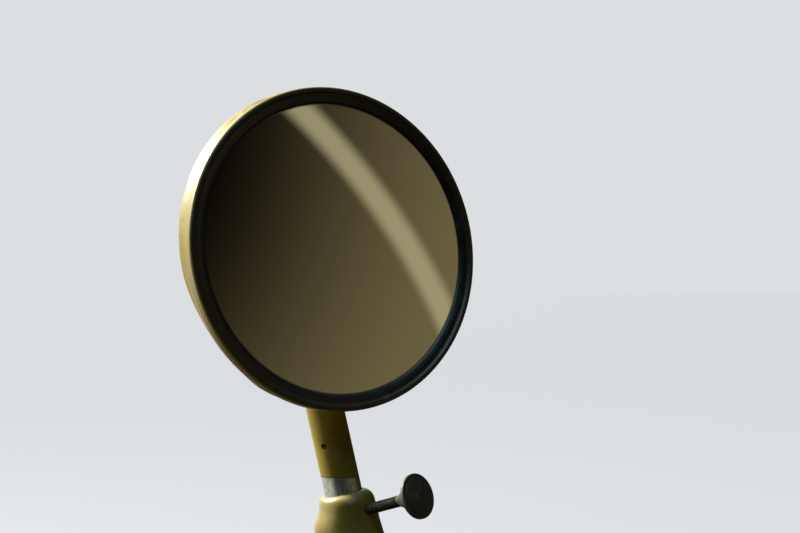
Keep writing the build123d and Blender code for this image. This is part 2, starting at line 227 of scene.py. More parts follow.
def rounded(corners: Sequence[tuple[float, float, float]], closed: bool = False, steps: int = 6) -> Array:
    """Draws an outline whose corners are rounded.

    An arc touches both sides of its corner: it starts radius / tan(half the angle) away along each side, and its
    centre lies radius / sin(half the angle) away between them. A point just beyond each end of the arc keeps
    the shading of the flats flat.

    Args:
        corners: Place (u, v) and radius of each corner.
        closed: True for a closed outline.
        steps: Steps of each arc.

    Returns:
        The outline's points, one in each row.
    """
    spots = np.array([corner[:2] for corner in corners], float)
    parts = []
    last = len(corners) - 1
    for i, (_, _, radius) in enumerate(corners):
        spot = spots[i]
        if radius == 0 or (not closed and i in (0, last)):
            parts.append(spot[None])
            continue
        before = spots[i - 1] - spot
        after = spots[(i + 1) % (last + 1)] - spot
        before /= np.linalg.norm(before)
        after /= np.linalg.norm(after)
        half = np.arccos(np.clip(before @ after, -1, 1)) / 2
        run = radius / np.tan(half)
        middle = (before + after) / np.linalg.norm(before + after)
        centre = spot + middle * radius / np.sin(half)
        first = spot + before * run - centre
        final = spot + after * run - centre
        start = np.arctan2(first[1], first[0])
        turned = (np.arctan2(final[1], final[0]) - start + np.pi) % FULL_TURN - np.pi
        angle = start + turned * np.linspace(0, 1, steps + 1)
        arc = centre + radius * np.stack([np.cos(angle), np.sin(angle)], -1)
        hold = min(0.2 * radius, 0.3)
        parts += [(spot + before * (run + hold))[None], arc, (spot + after * (run + hold))[None]]
    return np.concatenate(parts)


def through(a: Sequence[float], b: Sequence[float], c: Sequence[float], steps: int = 12) -> Array:
    """Draws the arc from a through b to c, round the point that is as far from all three.

    Args:
        a: First point.
        b: A point on the way.
        c: Last point.
        steps: Steps of the arc.

    Returns:
        The arc's points.
    """
    a, b, c = (np.array(point, float) for point in (a, b, c))
    sides = 2 * np.stack([b - a, c - a])
    centre = np.linalg.solve(sides, [b @ b - a @ a, c @ c - a @ a])
    spans = [np.arctan2(*(point - centre)[::-1]) for point in (a, b, c)]
    ccw = (spans[1] - spans[0]) % FULL_TURN < (spans[2] - spans[0]) % FULL_TURN
    turned = (spans[2] - spans[0]) % FULL_TURN - (0 if ccw else FULL_TURN)
    angle = spans[0] + turned * np.linspace(0, 1, steps + 1)
    return centre + np.linalg.norm(a - centre) * np.stack([np.cos(angle), np.sin(angle)], -1)


def dense(path: Array, step: float) -> Array:
    """Adds points so that no run of the path is longer than step, and keeps the points it has."""
    run = np.linalg.norm(np.diff(path, axis=0), axis=1)
    where = np.concatenate([[0], np.cumsum(run)])
    count = max(2, int(np.ceil(where[-1] / step)) + 1)
    every = np.unique(np.concatenate([where, np.linspace(0, where[-1], count)]))
    every = every[np.concatenate([[True], np.diff(every) > 1e-4])]
    return np.stack([np.interp(every, where, path[:, k]) for k in range(path.shape[1])], -1)


def lathe(profile: Array, segments: int = 96) -> Array:
    """Turns a profile of (radius, height) round z: x is radius cos a, y is radius sin a.

    Args:
        profile: Radius and height of each row.
        segments: Columns round the axis.

    Returns:
        A grid of points, rows by segments by 3.
    """
    angle = np.linspace(0, FULL_TURN, segments, endpoint=False)
    radius, height = profile[:, :1], profile[:, 1:]
    return np.stack([radius * np.cos(angle), radius * np.sin(angle), height + 0 * angle], -1)


def resized(grid: Array, radius: Array) -> Array:
    """Moves each point of a turned grid straight out or in, to a new radius."""
    old = np.hypot(grid[..., 0], grid[..., 1])
    scale = np.where(old > 0, radius / np.maximum(old, 1e-9), 1)
    return grid * np.stack([scale, scale, np.ones_like(scale)], -1)


def hexagonal(grid: Array, across: float) -> Array:
    """Trims a turned grid to a hexagon bar.

    The radius is never more than half the size across flats, divided by the cosine of the angle to the nearest
    flat's middle, so a turned chamfer above the flats leaves the usual curved edges.

    Args:
        grid: Turned grid.
        across: Size across flats.

    Returns:
        The trimmed grid.
    """
    angle = np.arctan2(grid[..., 1], grid[..., 0])
    fold = (angle + np.pi / 6) % (np.pi / 3) - np.pi / 6
    return resized(grid, np.minimum(np.hypot(grid[..., 0], grid[..., 1]), across / 2 / np.cos(fold)))


def threaded(grid: Array, low: float, high: float, pitch: float, depth: float) -> Array:
    """Cuts a right-hand thread into a turned grid.

    The phase is height / pitch less the angle's share of a turn. The radius falls by depth times a tooth wave of
    the phase with a flat crest and root, fading in and out over a pitch at both ends.

    Args:
        grid: Turned grid with at least eight rows to a pitch.
        low: Height where the thread starts.
        high: Height where it ends.
        pitch: Pitch of the thread.
        depth: Depth of the thread.

    Returns:
        The grid with its thread.
    """
    radius = np.hypot(grid[..., 0], grid[..., 1])
    angle = np.arctan2(grid[..., 1], grid[..., 0])
    height = grid[..., 2]
    phase = (height / pitch - angle / FULL_TURN) % 1
    tooth = np.clip(2.6 * np.abs(2 * phase - 1) - 0.55, 0, 1)
    fade = smooth(height, low, low + pitch) * smooth(height, high, high - pitch)
    return resized(grid, radius - np.where(radius > 3 * depth, depth * tooth * fade, 0))


def slab(outline: Array, thick: float, edge: float) -> Array:
    """Builds a flat plate with rounded edges, from z = 0 to its thickness.

    Each row is the outline less an inset along its outward normal. The inset follows a quarter circle in five
    steps at both faces, and the first and last rows are the middle of each face.

    Args:
        outline: Closed convex outline, anticlockwise.
        thick: Thickness.
        edge: Radius of the rounded edges.

    Returns:
        A grid that ends in poles.
    """
    along = np.roll(outline, -1, 0) - np.roll(outline, 1, 0)
    along /= np.linalg.norm(along, axis=1, keepdims=True)
    normal = np.stack([along[:, 1], -along[:, 0]], -1)
    quarter = np.linspace(0, np.pi / 2, 6)
    inset = edge * (1 - np.sin(quarter))
    rise = edge * (1 - np.cos(quarter))
    inset = np.concatenate([[1.6 * edge], inset, inset[::-1], [1.6 * edge]])
    height = np.concatenate([[0], rise, thick - rise[::-1], [thick]])
    rows = outline[None] - inset[:, None, None] * normal[None]
    walls = np.concatenate([rows, np.broadcast_to(height[:, None, None], rows.shape[:2] + (1,))], -1)
    middle = np.append(outline.mean(0), 0)
    bottom = np.broadcast_to(middle, (1,) + walls.shape[1:])
    return np.concatenate([bottom, walls, bottom + [0, 0, thick]])


def carried(path: Array, side: Array, section: Array, scale: Array | None = None) -> Array:
    """Carries a closed section along an open path, whose ends close in the path's own points.

    The section's u runs along the side direction, made square to the path, and its v along path cross side.

    Args:
        path: Points of the path.
        side: Direction of u at each point, or one direction for all.
        section: Closed section, (u, v) in each row.
        scale: Size of the section at each point.

    Returns:
        A grid that ends in poles.
    """
    ahead = np.gradient(path, axis=0)
    ahead /= np.linalg.norm(ahead, axis=1, keepdims=True)
    side = np.broadcast_to(side, path.shape)
    u = side - (side * ahead).sum(1, keepdims=True) * ahead
    u /= np.linalg.norm(u, axis=1, keepdims=True)
    v = np.cross(ahead, u)
    size = (np.ones(len(path)) if scale is None else scale)[:, None, None]
    grid = path[:, None] + size * (section[None, :, :1] * u[:, None] + section[None, :, 1:] * v[:, None])
    first, last = (np.broadcast_to(point, (1,) + grid.shape[1:]) for point in (path[0], path[-1]))
    return np.concatenate([first, grid, last])


def circle(radius: float, count: int = 16) -> Array:
    """Draws a circle of points round the origin."""
    angle = np.linspace(0, FULL_TURN, count, endpoint=False)
    return radius * np.stack([np.cos(angle), np.sin(angle)], -1)


def oblong(half_u: float, half_v: float, radius: float, steps: int) -> Array:
    """Draws a rectangle with rounded corners round the origin, anticlockwise."""
    corners = ((-1, -1), (1, -1), (1, 1), (-1, 1))
    return rounded([(s * half_u, t * half_v, radius) for s, t in corners], True, steps)


def domed(edge: float, base: float, crown: float, out: Array) -> Array:
    """Gives the height of a dome, part of a ball.

    The ball's radius is (edge squared + crown squared) / (2 crown), and its height at a distance out is the root of
    its radius squared less that distance squared.

    Args:
        edge: Radius of the dome's edge.
        base: Height of its edge.
        crown: How far its top is over its edge.
        out: Distances from its axis.

    Returns:
        The height at each distance.
    """
    ball = (edge**2 + crown**2) / (2 * crown)
    return base + crown - ball + np.sqrt(ball**2 - out**2)


class Skin:
    """Closed surfaces gathered into one mesh, in metres of the row's frame."""

    def __init__(self) -> None:
        """Starts with nothing."""
        self.points: list[Array] = []
        self.faces: list[list[int]] = []
        self.count = 0

    def add(self, grid: Array, axes: Axes, ends: Ends = Ends.LOOP) -> "Skin":
        """Adds one closed surface, with its faces outwards.

        Each cell of the grid becomes a quad, or a triangle beside a pole. Its volume is a sixth of the sum of its
        triangles' triple products, and where that is negative all its faces are turned round.

        Args:
            grid: Rows by columns by 3, in local millimetres. Its columns close on themselves.
            axes: The local frame.
            ends: How its rows end.

        Returns:
            This skin.
        """
        rows, columns, _ = grid.shape
        index = np.arange(rows * columns).reshape(rows, columns)
        if ends is Ends.POLES:
            index[0], index[-1] = index[0, 0], index[-1, 0]
            upper, lower = index[:-1], index[1:]
        else:
            upper, lower = index, np.roll(index, -1, 0)
        cells = np.stack([upper, np.roll(upper, -1, 1), np.roll(lower, -1, 1), lower], -1).reshape(-1, 4)
        triples = np.zeros((0, 3), int)
        if ends is Ends.POLES:
            triples = np.concatenate([cells[:columns, [0, 2, 3]], cells[-columns:, [0, 1, 2]]])
            cells = cells[columns:-columns]
        used, number = np.unique(np.concatenate([cells.ravel(), triples.ravel()]), return_inverse=True)
        points = axes.place(grid.reshape(-1, 3)[used])
        cells, triples = number[:cells.size].reshape(-1, 4), number[cells.size:].reshape(-1, 3)
        corners = np.concatenate([cells[:, :3], cells[:, [0, 2, 3]], triples])
        a, b, c = (points[corners[:, k]] - points[0] for k in range(3))
        if (a * np.cross(b, c)).sum() < 0:
            cells, triples = cells[:, ::-1], triples[:, ::-1]
        self.faces += (cells + self.count).tolist() + (triples + self.count).tolist()
        self.points.append(points)
        self.count += len(points)
        return self

    def mesh(self, name: str) -> bpy.types.Mesh:
        """Makes a mesh of what was gathered."""
        made = bpy.data.meshes.new(name)
        made.from_pydata(np.concatenate(self.points).tolist(), [], self.faces)
        return made


def linear(text: str) -> tuple[float, float, float, float]:
    """Turns a sRGB hex colour into linear light: v / 12.92 near black, else ((v + 0.055) / 1.055) to the 2.4."""
    value = np.array([int(text[k : k + 2], 16) for k in (1, 3, 5)]) / 255
    light = np.where(value <= 0.04045, value / 12.92, ((value + 0.055) / 1.055) ** 2.4)
    return (*light.tolist(), 1.0)


def per(size_mm: float) -> float:
    """Gives the texture scale whose pattern repeats about every size_mm on coordinates in metres."""
    return 1 / (size_mm * MM)


def towards(azimuth: float, elevation: float) -> tuple[float, float, float]:
    """Gives the direction at an azimuth from +X towards +Y and an elevation, both in degrees."""
    a, e = np.radians([azimuth, elevation])
    return (float(np.cos(e) * np.cos(a)), float(np.cos(e) * np.sin(a)), float(np.sin(e)))


def add(tree: Tree, kind: str, *values: Any, **settings: Any) -> Socket | None:
    """Adds a node with its settings and links, and gives its first output in use.

    Args:
        tree: Tree that it is added to.
        kind: Blender's name for its type, without ShaderNode.
        *values: For its inputs in use, in their order. A socket is linked, a hex colour is made linear, None
            leaves the input as it is, and anything else is set.
        **settings: Values of its own attributes, such as a Math node's operation.

    Returns:
        The first of its outputs in use, or None where it has none.
    """
    node = tree.nodes.new("ShaderNode" + kind)
    for name, value in settings.items():
        setattr(node, name, value)
    for socket, value in zip([socket for socket in node.inputs if socket.enabled], values):
        if isinstance(value, Socket):
            tree.links.new(value, socket)
        elif value is not None:
            socket.default_value = linear(value) if isinstance(value, str) else value
    return next((socket for socket in node.outputs if socket.enabled), None)


def blotches(
    tree: Tree, place: Socket, size_mm: float, seed: float, low: float, high: float, detail: float = 4.0
) -> Socket:
    """Makes soft blotches: noise of a given size, spread from low..high to 0..1.

    Args:
        tree: The node tree.
        place: Coordinates, in metres.
        size_mm: Size of a blotch.
        seed: Picks another pattern.
        low: Noise that gives 0.
        high: Noise that gives 1.
        detail: Finer octaves.

    Returns:
        The blotches, from 0 to 1.
    """
    field = add(tree, "TexNoise", place, seed, per(size_mm), detail, noise_dimensions="4D")
    return add(tree, "MapRange", field, low, high)


def edges(tree: Tree, radius_mm: float) -> Socket:
    """Finds edges: how much the product of the true normal and the normal rounded over a radius falls short of one.

    Args:
        tree: The node tree.
        radius_mm: How far the rounding reaches.

    Returns:
        A mask, 0 on flats and 1 on sharp edges.
    """
    true = add(tree, "NewGeometry").node.outputs["Normal"]
    soft = add(tree, "Bevel", radius_mm * MM, samples=6)
    product = add(tree, "VectorMath", soft, true, operation="DOT_PRODUCT")
    return add(tree, "MapRange", product, 0.97, 0.8)


def hairlines(tree: Tree, place: Socket, spacing_mm: float, seed: float) -> Socket:
    """Draws fine scratches: thin lines where a stretched noise crosses a half, kept in a few patches.

    Args:
        tree: The node tree.
        place: Coordinates, in metres.
        spacing_mm: Size of the noise whose middle line they follow.
        seed: Picks another pattern.

    Returns:
        A mask, 1 on the scratches.
    """
    drawn_out = add(tree, "Mapping", place, None, (0.6, 0.4, 0.9), (1, 1, 0.12))
    field = add(tree, "TexNoise", drawn_out, seed, per(spacing_mm), 0.3, noise_dimensions="4D")
    away = add(tree, "Math", add(tree, "Math", field, 0.5, operation="SUBTRACT"), operation="ABSOLUTE")
    kept = blotches(tree, place, spacing_mm * 0.8, seed + 1, 0.56, 0.66, 2.0)
    return add(tree, "Math", add(tree, "MapRange", away, 0.006, 0.002), kept, operation="MULTIPLY")


def occlusion_mask(tree: Tree, reach_mm: float) -> Socket:
    """Finds shut-in corners: where less than most of the open air within reach can be seen. Darkening them paints shade
    as well as dirt.

    Args:
        tree: The node tree.
        reach_mm: How far a neighbour counts.

    Returns:
        A mask, 1 deep in a corner.
    """
    open_air = add(tree, "AmbientOcclusion", None, reach_mm * MM, samples=8).node.outputs["AO"]
    return add(tree, "MapRange", open_air, 0.8, 0.35)


def lobe(tree: Tree, way: Socket, middle: Sequence[float], outer: float, inner: float) -> Socket:
    """Eases from 0 to 1 as a direction turns towards another, by the cosine of the angle between them.

    Args:
        tree: The node tree.
        way: The direction looked in.
        middle: The direction that it turns towards.
        outer: Angle that gives 0, in degrees.
        inner: Angle that gives 1.

    Returns:
        The share at each direction.
    """
    near = add(tree, "VectorMath", way, middle, operation="DOT_PRODUCT")
    low, high = np.cos(np.radians([outer, inner]))
    return add(tree, "MapRange", near, low, high, interpolation_type="SMOOTHSTEP")


def within(
    tree: Tree, place: Socket, middle: Sequence[float], noise: Socket, ragged_mm: float, start: float, end: float
) -> Socket:
    """Masks a ragged ring or disc: the distance from its middle plus a share of a noise, spread to 0..1.

    Args:
        tree: The node tree.
        place: Coordinates, in metres.
        middle: Its middle, in metres.
        noise: The noise that makes its edge ragged.
        ragged_mm: How far the noise moves the edge.
        start: Distance that gives 0, in millimetres.
        end: Distance that gives 1.

    Returns:
        The mask.
    """
    away = add(tree, "VectorMath", place, middle, operation="DISTANCE")
    uneven = add(tree, "Math", noise, ragged_mm * MM, away, operation="MULTIPLY_ADD")
    return add(tree, "MapRange", uneven, start * MM, end * MM)


class Coats:
    """Coats over one another. Each changes colour, roughness, metal and height where its mask is one."""

    def __init__(self, tree: Tree, colour: Any, rough: Any, height: Any = 0.0, metal: Any = 0.0) -> None:
        """Starts with the bottom coat.

        Args:
            tree: The node tree.
            colour: Its colour.
            rough: Its roughness.
            height: Its height, in millimetres.
            metal: 1 for bare metal, 0 for paint, rubber or rust.
        """
        self.tree = tree
        self.colour, self.rough, self.height, self.metal = colour, rough, height, metal

    @staticmethod
    def grained(
        tree: Tree,
        place: Socket,
        colour: str,
        noise: tuple[float, float, float],
        rough: tuple[float, float],
        depth_mm: float,
        metal: float = 0.0,
    ) -> tuple["Coats", Socket]:
        """Starts with a bottom coat whose roughness and height follow one fine noise.

        Args:
            tree: The node tree.
            place: Coordinates, in metres.
            colour: Its colour.
            noise: The noise's seed, size in millimetres and finer octaves.
            rough: Its roughness in the noise's hollows and on its crests.
            depth_mm: Height of the noise.
            metal: 1 for bare metal, 0 for paint, rubber or board.

        Returns:
            The coats, and the noise.
        """
        seed, size_mm, detail = noise
        field = add(tree, "TexNoise", place, seed, per(size_mm), detail, noise_dimensions="4D")
        uneven = add(tree, "MapRange", field, 0.3, 0.7, *rough)
        return Coats(tree, colour, uneven, add(tree, "Math", field, depth_mm, operation="MULTIPLY"), metal), field

    def lay(
        self, mask: Socket, colour: Any, rough: Any = None, metal: float | None = None, rise_mm: float = 0.0
    ) -> None:
        """Lays a coat over the others.

        Args:
            mask: Where it is.
            colour: Its colour.
            rough: Its roughness, or None to keep what is under it.
            metal: Its metal, or None to keep what is under it.
            rise_mm: Its thickness, less than 0 for a chip.
        """
        self.colour = add(self.tree, "Mix", mask, self.colour, colour, data_type="RGBA")
        if rough is not None:
            self.rough = add(self.tree, "Mix", mask, self.rough, rough)
        if metal is not None:
            self.metal = add(self.tree, "Mix", mask, self.metal, metal)
        if rise_mm:
            self.height = add(self.tree, "Math", mask, rise_mm, self.height, operation="MULTIPLY_ADD")

    def finish(self, shader: bpy.types.Node) -> None:
        """Feeds the coats to a Principled shader."""
        normal = add(self.tree, "Bump", None, MM, None, self.height)
        wires = {"Base Color": self.colour, "Roughness": self.rough, "Metallic": self.metal, "Normal": normal}
        for name, value in wires.items():
            if isinstance(value, Socket):
                self.tree.links.new(value, shader.inputs[name])
            else:
                shader.inputs[name].default_value = linear(value) if isinstance(value, str) else value


@dataclass(frozen=True)
class Finish:
    """A finish: how a surface was made, and what that gives the eye."""

    name: str

    def material(self) -> bpy.types.Material:
        """Gives the finish's material, made once."""
        found = bpy.data.materials.get(self.name)
        if found:
            return found
        made = bpy.data.materials.new(self.name)
        made.use_nodes = True
        tree = made.node_tree
        tree.nodes.clear()
        shader = add(tree, "BsdfPrincipled").node
        add(tree, "OutputMaterial", shader.outputs[0])
        self.dress(tree, shader, add(tree, "TexCoord").node.outputs["Object"])
        return made

    def dress(self, tree: Tree, shader: bpy.types.Node, place: Socket) -> None:
        """Lays the finish on a shader.

        Args:
            tree: The node tree.
            shader: Its Principled BSDF.
            place: Object coordinates, in metres.
        """
        raise NotImplementedError


@dataclass(frozen=True)
class OliveEnamel(Finish):
    """Alkyd enamel sprayed on primed steel.

    The film gives a satin sheen with a fine orange peel, and is a little chalked in broad patches. It is scratched
    in places, worn on edges to red oxide primer and then to steel, and holds dust on top. Its shut-in corners are
    darkened, partly by dirt and partly as painted shade.
    """

    film: str = "#655817"
    chalked: str = "#75692a"
    shaded: str = "#504611"
    scratch: str = "#86764a"
    primer: str = "#452719"
    steel: str = "#6f675a"
    rust: str = "#5a2f17"
    dust: str = "#a3966f"
    # Dark dirt colour: in shut-in corners it is also painted shade, and on the stem it darkens the masked line
    dirt_and_shade: str = "#1d180f"
    patch_mm: float = 28.0
    mottle_mm: float = 2.6
    peel_mm: float = 1.5
    peel_depth_mm: float = 0.012
    edge_mm: float = 0.8
    chip_mm: float = 3.2
    wear: float = 0.24
    sheen: float = 0.34
    lustre: float = 0.5

    def bare(self, tree: Tree, place: Socket, coats: Coats) -> None:
        """Adds what one piece alone shows, which is nothing on most."""

    def dress(self, tree: Tree, shader: bpy.types.Node, place: Socket) -> None:
        """Film, chalking, mottle, dust, dirt and painted shade in shut-in corners, scratches, chips and bare edges, in
        that order.
        """
        sheen = (self.sheen - 0.05, self.sheen + 0.08)
        coats, _ = Coats.grained(tree, place, self.film, (2.0, self.peel_mm, 3.0), sheen, self.peel_depth_mm)
        chalk = blotches(tree, place, self.patch_mm, 1.0, 0.42, 0.7)
        coats.lay(chalk, self.chalked, self.sheen + 0.12)
        mottle = blotches(tree, place, self.mottle_mm, 4.0, 0.5, 0.78, 5.0)
        coats.lay(add(tree, "Math", mottle, 0.6, operation="MULTIPLY"), self.shaded)
        facing = add(tree, "SeparateXYZ", add(tree, "TexCoord").node.outputs["Normal"]).node.outputs["Z"]
        lying = add(tree, "MapRange", facing, 0.35, 1.0, 0.0, 0.55)
        settled = add(tree, "Math", lying, blotches(tree, place, 6.0, 5.0, 0.4, 0.7), operation="MULTIPLY")
        coats.lay(settled, self.dust, 0.7)
        # Darkens corners shut in from the open air: partly dirt, partly painted shade
        grime_and_shade = add(tree, "Math", occlusion_mask(tree, 3.0), blotches(tree, place, 4.0, 6.0, 0.2, 0.6), operation="MULTIPLY")
        coats.lay(grime_and_shade, self.dirt_and_shade, 0.75)
        coats.lay(hairlines(tree, place, 15.0, 17.0), self.scratch, 0.5, rise_mm=-0.01)
        speck = add(tree, "TexNoise", place, 9.0, per(self.chip_mm), 6.0, noise_dimensions="4D")
        rubbed = add(tree, "Math", edges(tree, self.edge_mm), self.wear, speck, operation="MULTIPLY_ADD")
        coats.lay(add(tree, "MapRange", rubbed, 0.735, 0.75), self.primer, 0.65, rise_mm=-0.03)
        coats.lay(add(tree, "MapRange", rubbed, 0.80, 0.81), self.steel, 0.42, 0.9, rise_mm=-0.02)
        halo = add(tree, "MapRange", rubbed, 0.79, 0.82)
        rusty = add(tree, "Math", halo, blotches(tree, place, 1.5, 11.0, 0.5, 0.6), operation="MULTIPLY")
        coats.lay(rusty, self.rust, 0.85, 0.0)
        self.bare(tree, place, coats)
        coats.finish(shader)
        shader.inputs["Specular IOR Level"].default_value = self.lustre


@dataclass(frozen=True)
class StemEnamel(OliveEnamel):
    """The same enamel on the drawn tube, masked off where the stem slides in its socket.

    Attributes:
        foot: Point on the stem's axis in the socket's mouth, in metres.
        up: Direction square to the masked line.
        bare_mm: The film starts this far above the mouth.
        chip: Middle of a chip knocked out of the film, in metres.
        chip_r: Radius of that chip, in millimetres.
        drawn: Bright steel of the drawn tube.
        greased: Steel under old grease.
        pitted: Light rust.
        corroded: Old dark rust in the chip.
    """

    foot: tuple[float, ...] = (0, 0, 0)
    up: tuple[float, ...] = (0, 0, 1)
    bare_mm: float = 7.5
    chip: tuple[float, ...] = (0, 0, 0)
    chip_r: float = 1.0
    drawn: str = "#cbcbc8"
    greased: str = "#7a7462"
    pitted: str = "#3b2615"
    corroded: str = "#27180c"

    def bare(self, tree: Tree, place: Socket, coats: Coats) -> None:
        """Steel shows below the masked line, whose height is the place less the foot, times up, and in the chip."""
        offset = add(tree, "VectorMath", place, self.foot, operation="SUBTRACT")
        height = add(tree, "VectorMath", offset, self.up, operation="DOT_PRODUCT")
        ragged = add(tree, "TexNoise", place, 8.0, per(1.6), 2.0, noise_dimensions="4D")
        line = add(tree, "Math", ragged, 0.5 * MM, height, operation="MULTIPLY_ADD")
        edge = (self.bare_mm + 0.25) * MM
        coats.lay(add(tree, "MapRange", line, edge + 0.5 * MM, edge), self.dirt_and_shade, 0.6)
        gone = add(tree, "MapRange", line, edge + 0.06 * MM, edge - 0.06 * MM)
        grain = blotches(tree, add(tree, "Mapping", place, None, None, (1, 1, 0.05)), 0.35, 12.0, 0.35, 0.7)
        steel = add(tree, "Mix", grain, self.drawn, self.greased, data_type="RGBA")
        coats.lay(gone, steel, 0.42, 1.0, rise_mm=-0.04)
        pits = add(tree, "Math", blotches(tree, place, 3.0, 13.0, 0.6, 0.85, 6.0), gone, operation="MULTIPLY")
        coats.lay(pits, self.pitted, 0.75, 0.1)
        chipped = within(tree, place, self.chip, ragged, 2.0, self.chip_r + 1.1, self.chip_r + 1.0)
        coats.lay(chipped, self.corroded, 0.8, 0.0, rise_mm=-0.03)


@dataclass(frozen=True)
class BracketEnamel(OliveEnamel):
    """The same enamel on a sand casting: the sand's grain shows through, and bolt heads have bared two rings.

    Attributes:
        bolts: Middle of each bolt hole on the pad's face, in metres.
        ring_mm: Radius of the bared rings.
    """

    bolts: tuple[tuple[float, float, float], ...] = ()
    ring_mm: float = 8.6

    def bare(self, tree: Tree, place: Socket, coats: Coats) -> None:
        """Steel and rust show where a bolt head turned: within a radius of the hole's middle."""
        ragged = add(tree, "TexNoise", place, 21.0, per(2.2), 3.0, noise_dimensions="4D")
        for bolt in self.bolts:
            ring = within(tree, place, bolt, ragged, 2.0, self.ring_mm + 1.1, self.ring_mm + 0.9)
            coats.lay(ring, self.steel, 0.4, 0.85, rise_mm=-0.04)
            rust = add(tree, "Math", blotches(tree, place, 3.0, 22.0, 0.42, 0.6), ring, operation="MULTIPLY")
            coats.lay(rust, self.rust, 0.85, 0.0)


@dataclass(frozen=True)
class RimEnamel(Finish):
    """Dark stoving enamel on a rolled steel rim: smooth and glossy, rubbed brown on its bead.

    The skirt was sprayed olive with the shell, up to a line just outside the bead's crest.

    Attributes:
        middle: Middle of the rim's front plane, in metres.
        spray_r: The spray reaches in to this radius, in millimetres.
    """

    middle: tuple[float, ...] = (0, 0, 0)
    spray_r: float = 69.25
    film: str = "#281f13"
    rubbed: str = "#4a3a20"
    sprayed: str = "#675a1a"
    scratch: str = "#3a362f"
    sheen: float = 0.29

    def dress(self, tree: Tree, shader: bpy.types.Node, place: Socket) -> None:
        """Film, brown primer where the bead is rubbed, hairline scratches, and olive outside the spray's radius."""
        sheen = (self.sheen - 0.03, self.sheen + 0.05)
        coats, _ = Coats.grained(tree, place, self.film, (4.0, 2.5, 2.0), sheen, 0.006)
        speck = add(tree, "TexNoise", place, 3.0, per(6.0), 5.0, noise_dimensions="4D")
        rub = add(tree, "Math", edges(tree, 0.9), 0.2, speck, operation="MULTIPLY_ADD")
        coats.lay(add(tree, "MapRange", rub, 0.6, 0.84), self.rubbed, 0.36)
        coats.lay(hairlines(tree, place, 11.0, 5.0), self.scratch, 0.4)
        outside = within(tree, place, self.middle, speck, 0.6, self.spray_r + 0.15, self.spray_r + 0.45)
        coats.lay(outside, self.sprayed, 0.42)
        coats.finish(shader)


@dataclass(frozen=True)
class Rubber(Finish):
    """Moulded black rubber, polished by years of wiping: a soft broad sheen, with a faint grey bloom in patches."""

    body: str = "#0c0c0e"
    bloom: str = "#1f2023"

    def dress(self, tree: Tree, shader: bpy.types.Node, place: Socket) -> None:
        """Black body with a patchy bloom and a fine matt grain."""
        coats, _ = Coats.grained(tree, place, self.body, (2.0, 0.6, 3.0), (0.24, 0.34), 0.004)
        coats.lay(blotches(tree, place, 9.0, 1.0, 0.5, 0.8), self.bloom, 0.45)
        coats.finish(shader)


@dataclass(frozen=True)
class SilveredGlass(Finish):
    """Convex float glass, silvered behind: a clear mirror with a thin veil of dust, its silver dulled at the edge.

    Attributes:
        middle: Middle of the glass, in metres.
        edge_mm: Radius where the glass meets its seal.
    """

    middle: tuple[float, ...] = (0, 0, 0)
    edge_mm: float = 62.7
    silver: str = "#e2e4df"
    dulled: str = "#3b3222"

    def dress(self, tree: Tree, shader: bpy.types.Node, place: Socket) -> None:
        """Silver, dulled within a millimetre of the edge, and a veil that softens the reflection here and there."""
        veil = add(tree, "TexNoise", place, 2.0, per(20.0), 6.0, noise_dimensions="4D")
        coats = Coats(tree, self.silver, add(tree, "MapRange", veil, 0.4, 0.75, 0.008, 0.03), metal=1.0)
        ragged = add(tree, "TexNoise", place, 1.0, per(3.0), 4.0, noise_dimensions="4D")
        edge = within(tree, place, self.middle, ragged, 0.3, self.edge_mm - 0.5, self.edge_mm + 0.5)
        coats.lay(edge, self.dulled, 0.2)
        coats.finish(shader)


@dataclass(frozen=True)
class OiledSteel(Finish):
    """Turned steel, oil-blackened: nearly black with a low sheen, streaked by handling and browned by rust."""

    black: str = "#332d20"
    bright: str = "#5b5546"
    rust: str = "#4a2816"
    rusty: float = 0.5
    metal: float = 0.3

    def dress(self, tree: Tree, shader: bpy.types.Node, place: Socket) -> None:
        """Blackened skin, handling streaks, rubbed edges and rust."""
        noise = (2.0, 0.7, 4.0)
        coats, fine = Coats.grained(tree, place, self.black, noise, (0.52, 0.68), 0.015, self.metal)
        streaky = add(tree, "Mapping", place, None, (0, 0.35, 0), (1, 1, 0.14))
        streaks = blotches(tree, streaky, 1.3, 3.0, 0.48, 0.72)
        coats.lay(add(tree, "Math", streaks, 0.55, operation="MULTIPLY"), self.bright, 0.5)
        rubbed = add(tree, "Math", edges(tree, 0.4), 0.25, fine, operation="MULTIPLY_ADD")
        coats.lay(add(tree, "MapRange", rubbed, 0.7, 0.95), self.bright, 0.45)
        patch = blotches(tree, place, 3.5, 1.0, 0.66 - 0.12 * self.rusty, 0.76, 6.0)
        coats.lay(patch, self.rust, 0.8, 0.0, rise_mm=0.02)
        coats.finish(shader)


@dataclass(frozen=True)
class VulcanisedFibre(Finish):
    """Punched vulcanised fibre: dense red-brown board, matt, with a felted grain."""

    board: str = "#5b2f20"
    pale: str = "#7a4630"

    def dress(self, tree: Tree, shader: bpy.types.Node, place: Socket) -> None:
        """Mottled board with a felted grain."""
        coats, felt = Coats.grained(tree, place, self.board, (1.0, 0.7, 4.0), (0.6, 0.75), 0.02)
        coats.lay(add(tree, "MapRange", felt, 0.4, 0.7), self.pale)
        coats.finish(shader)


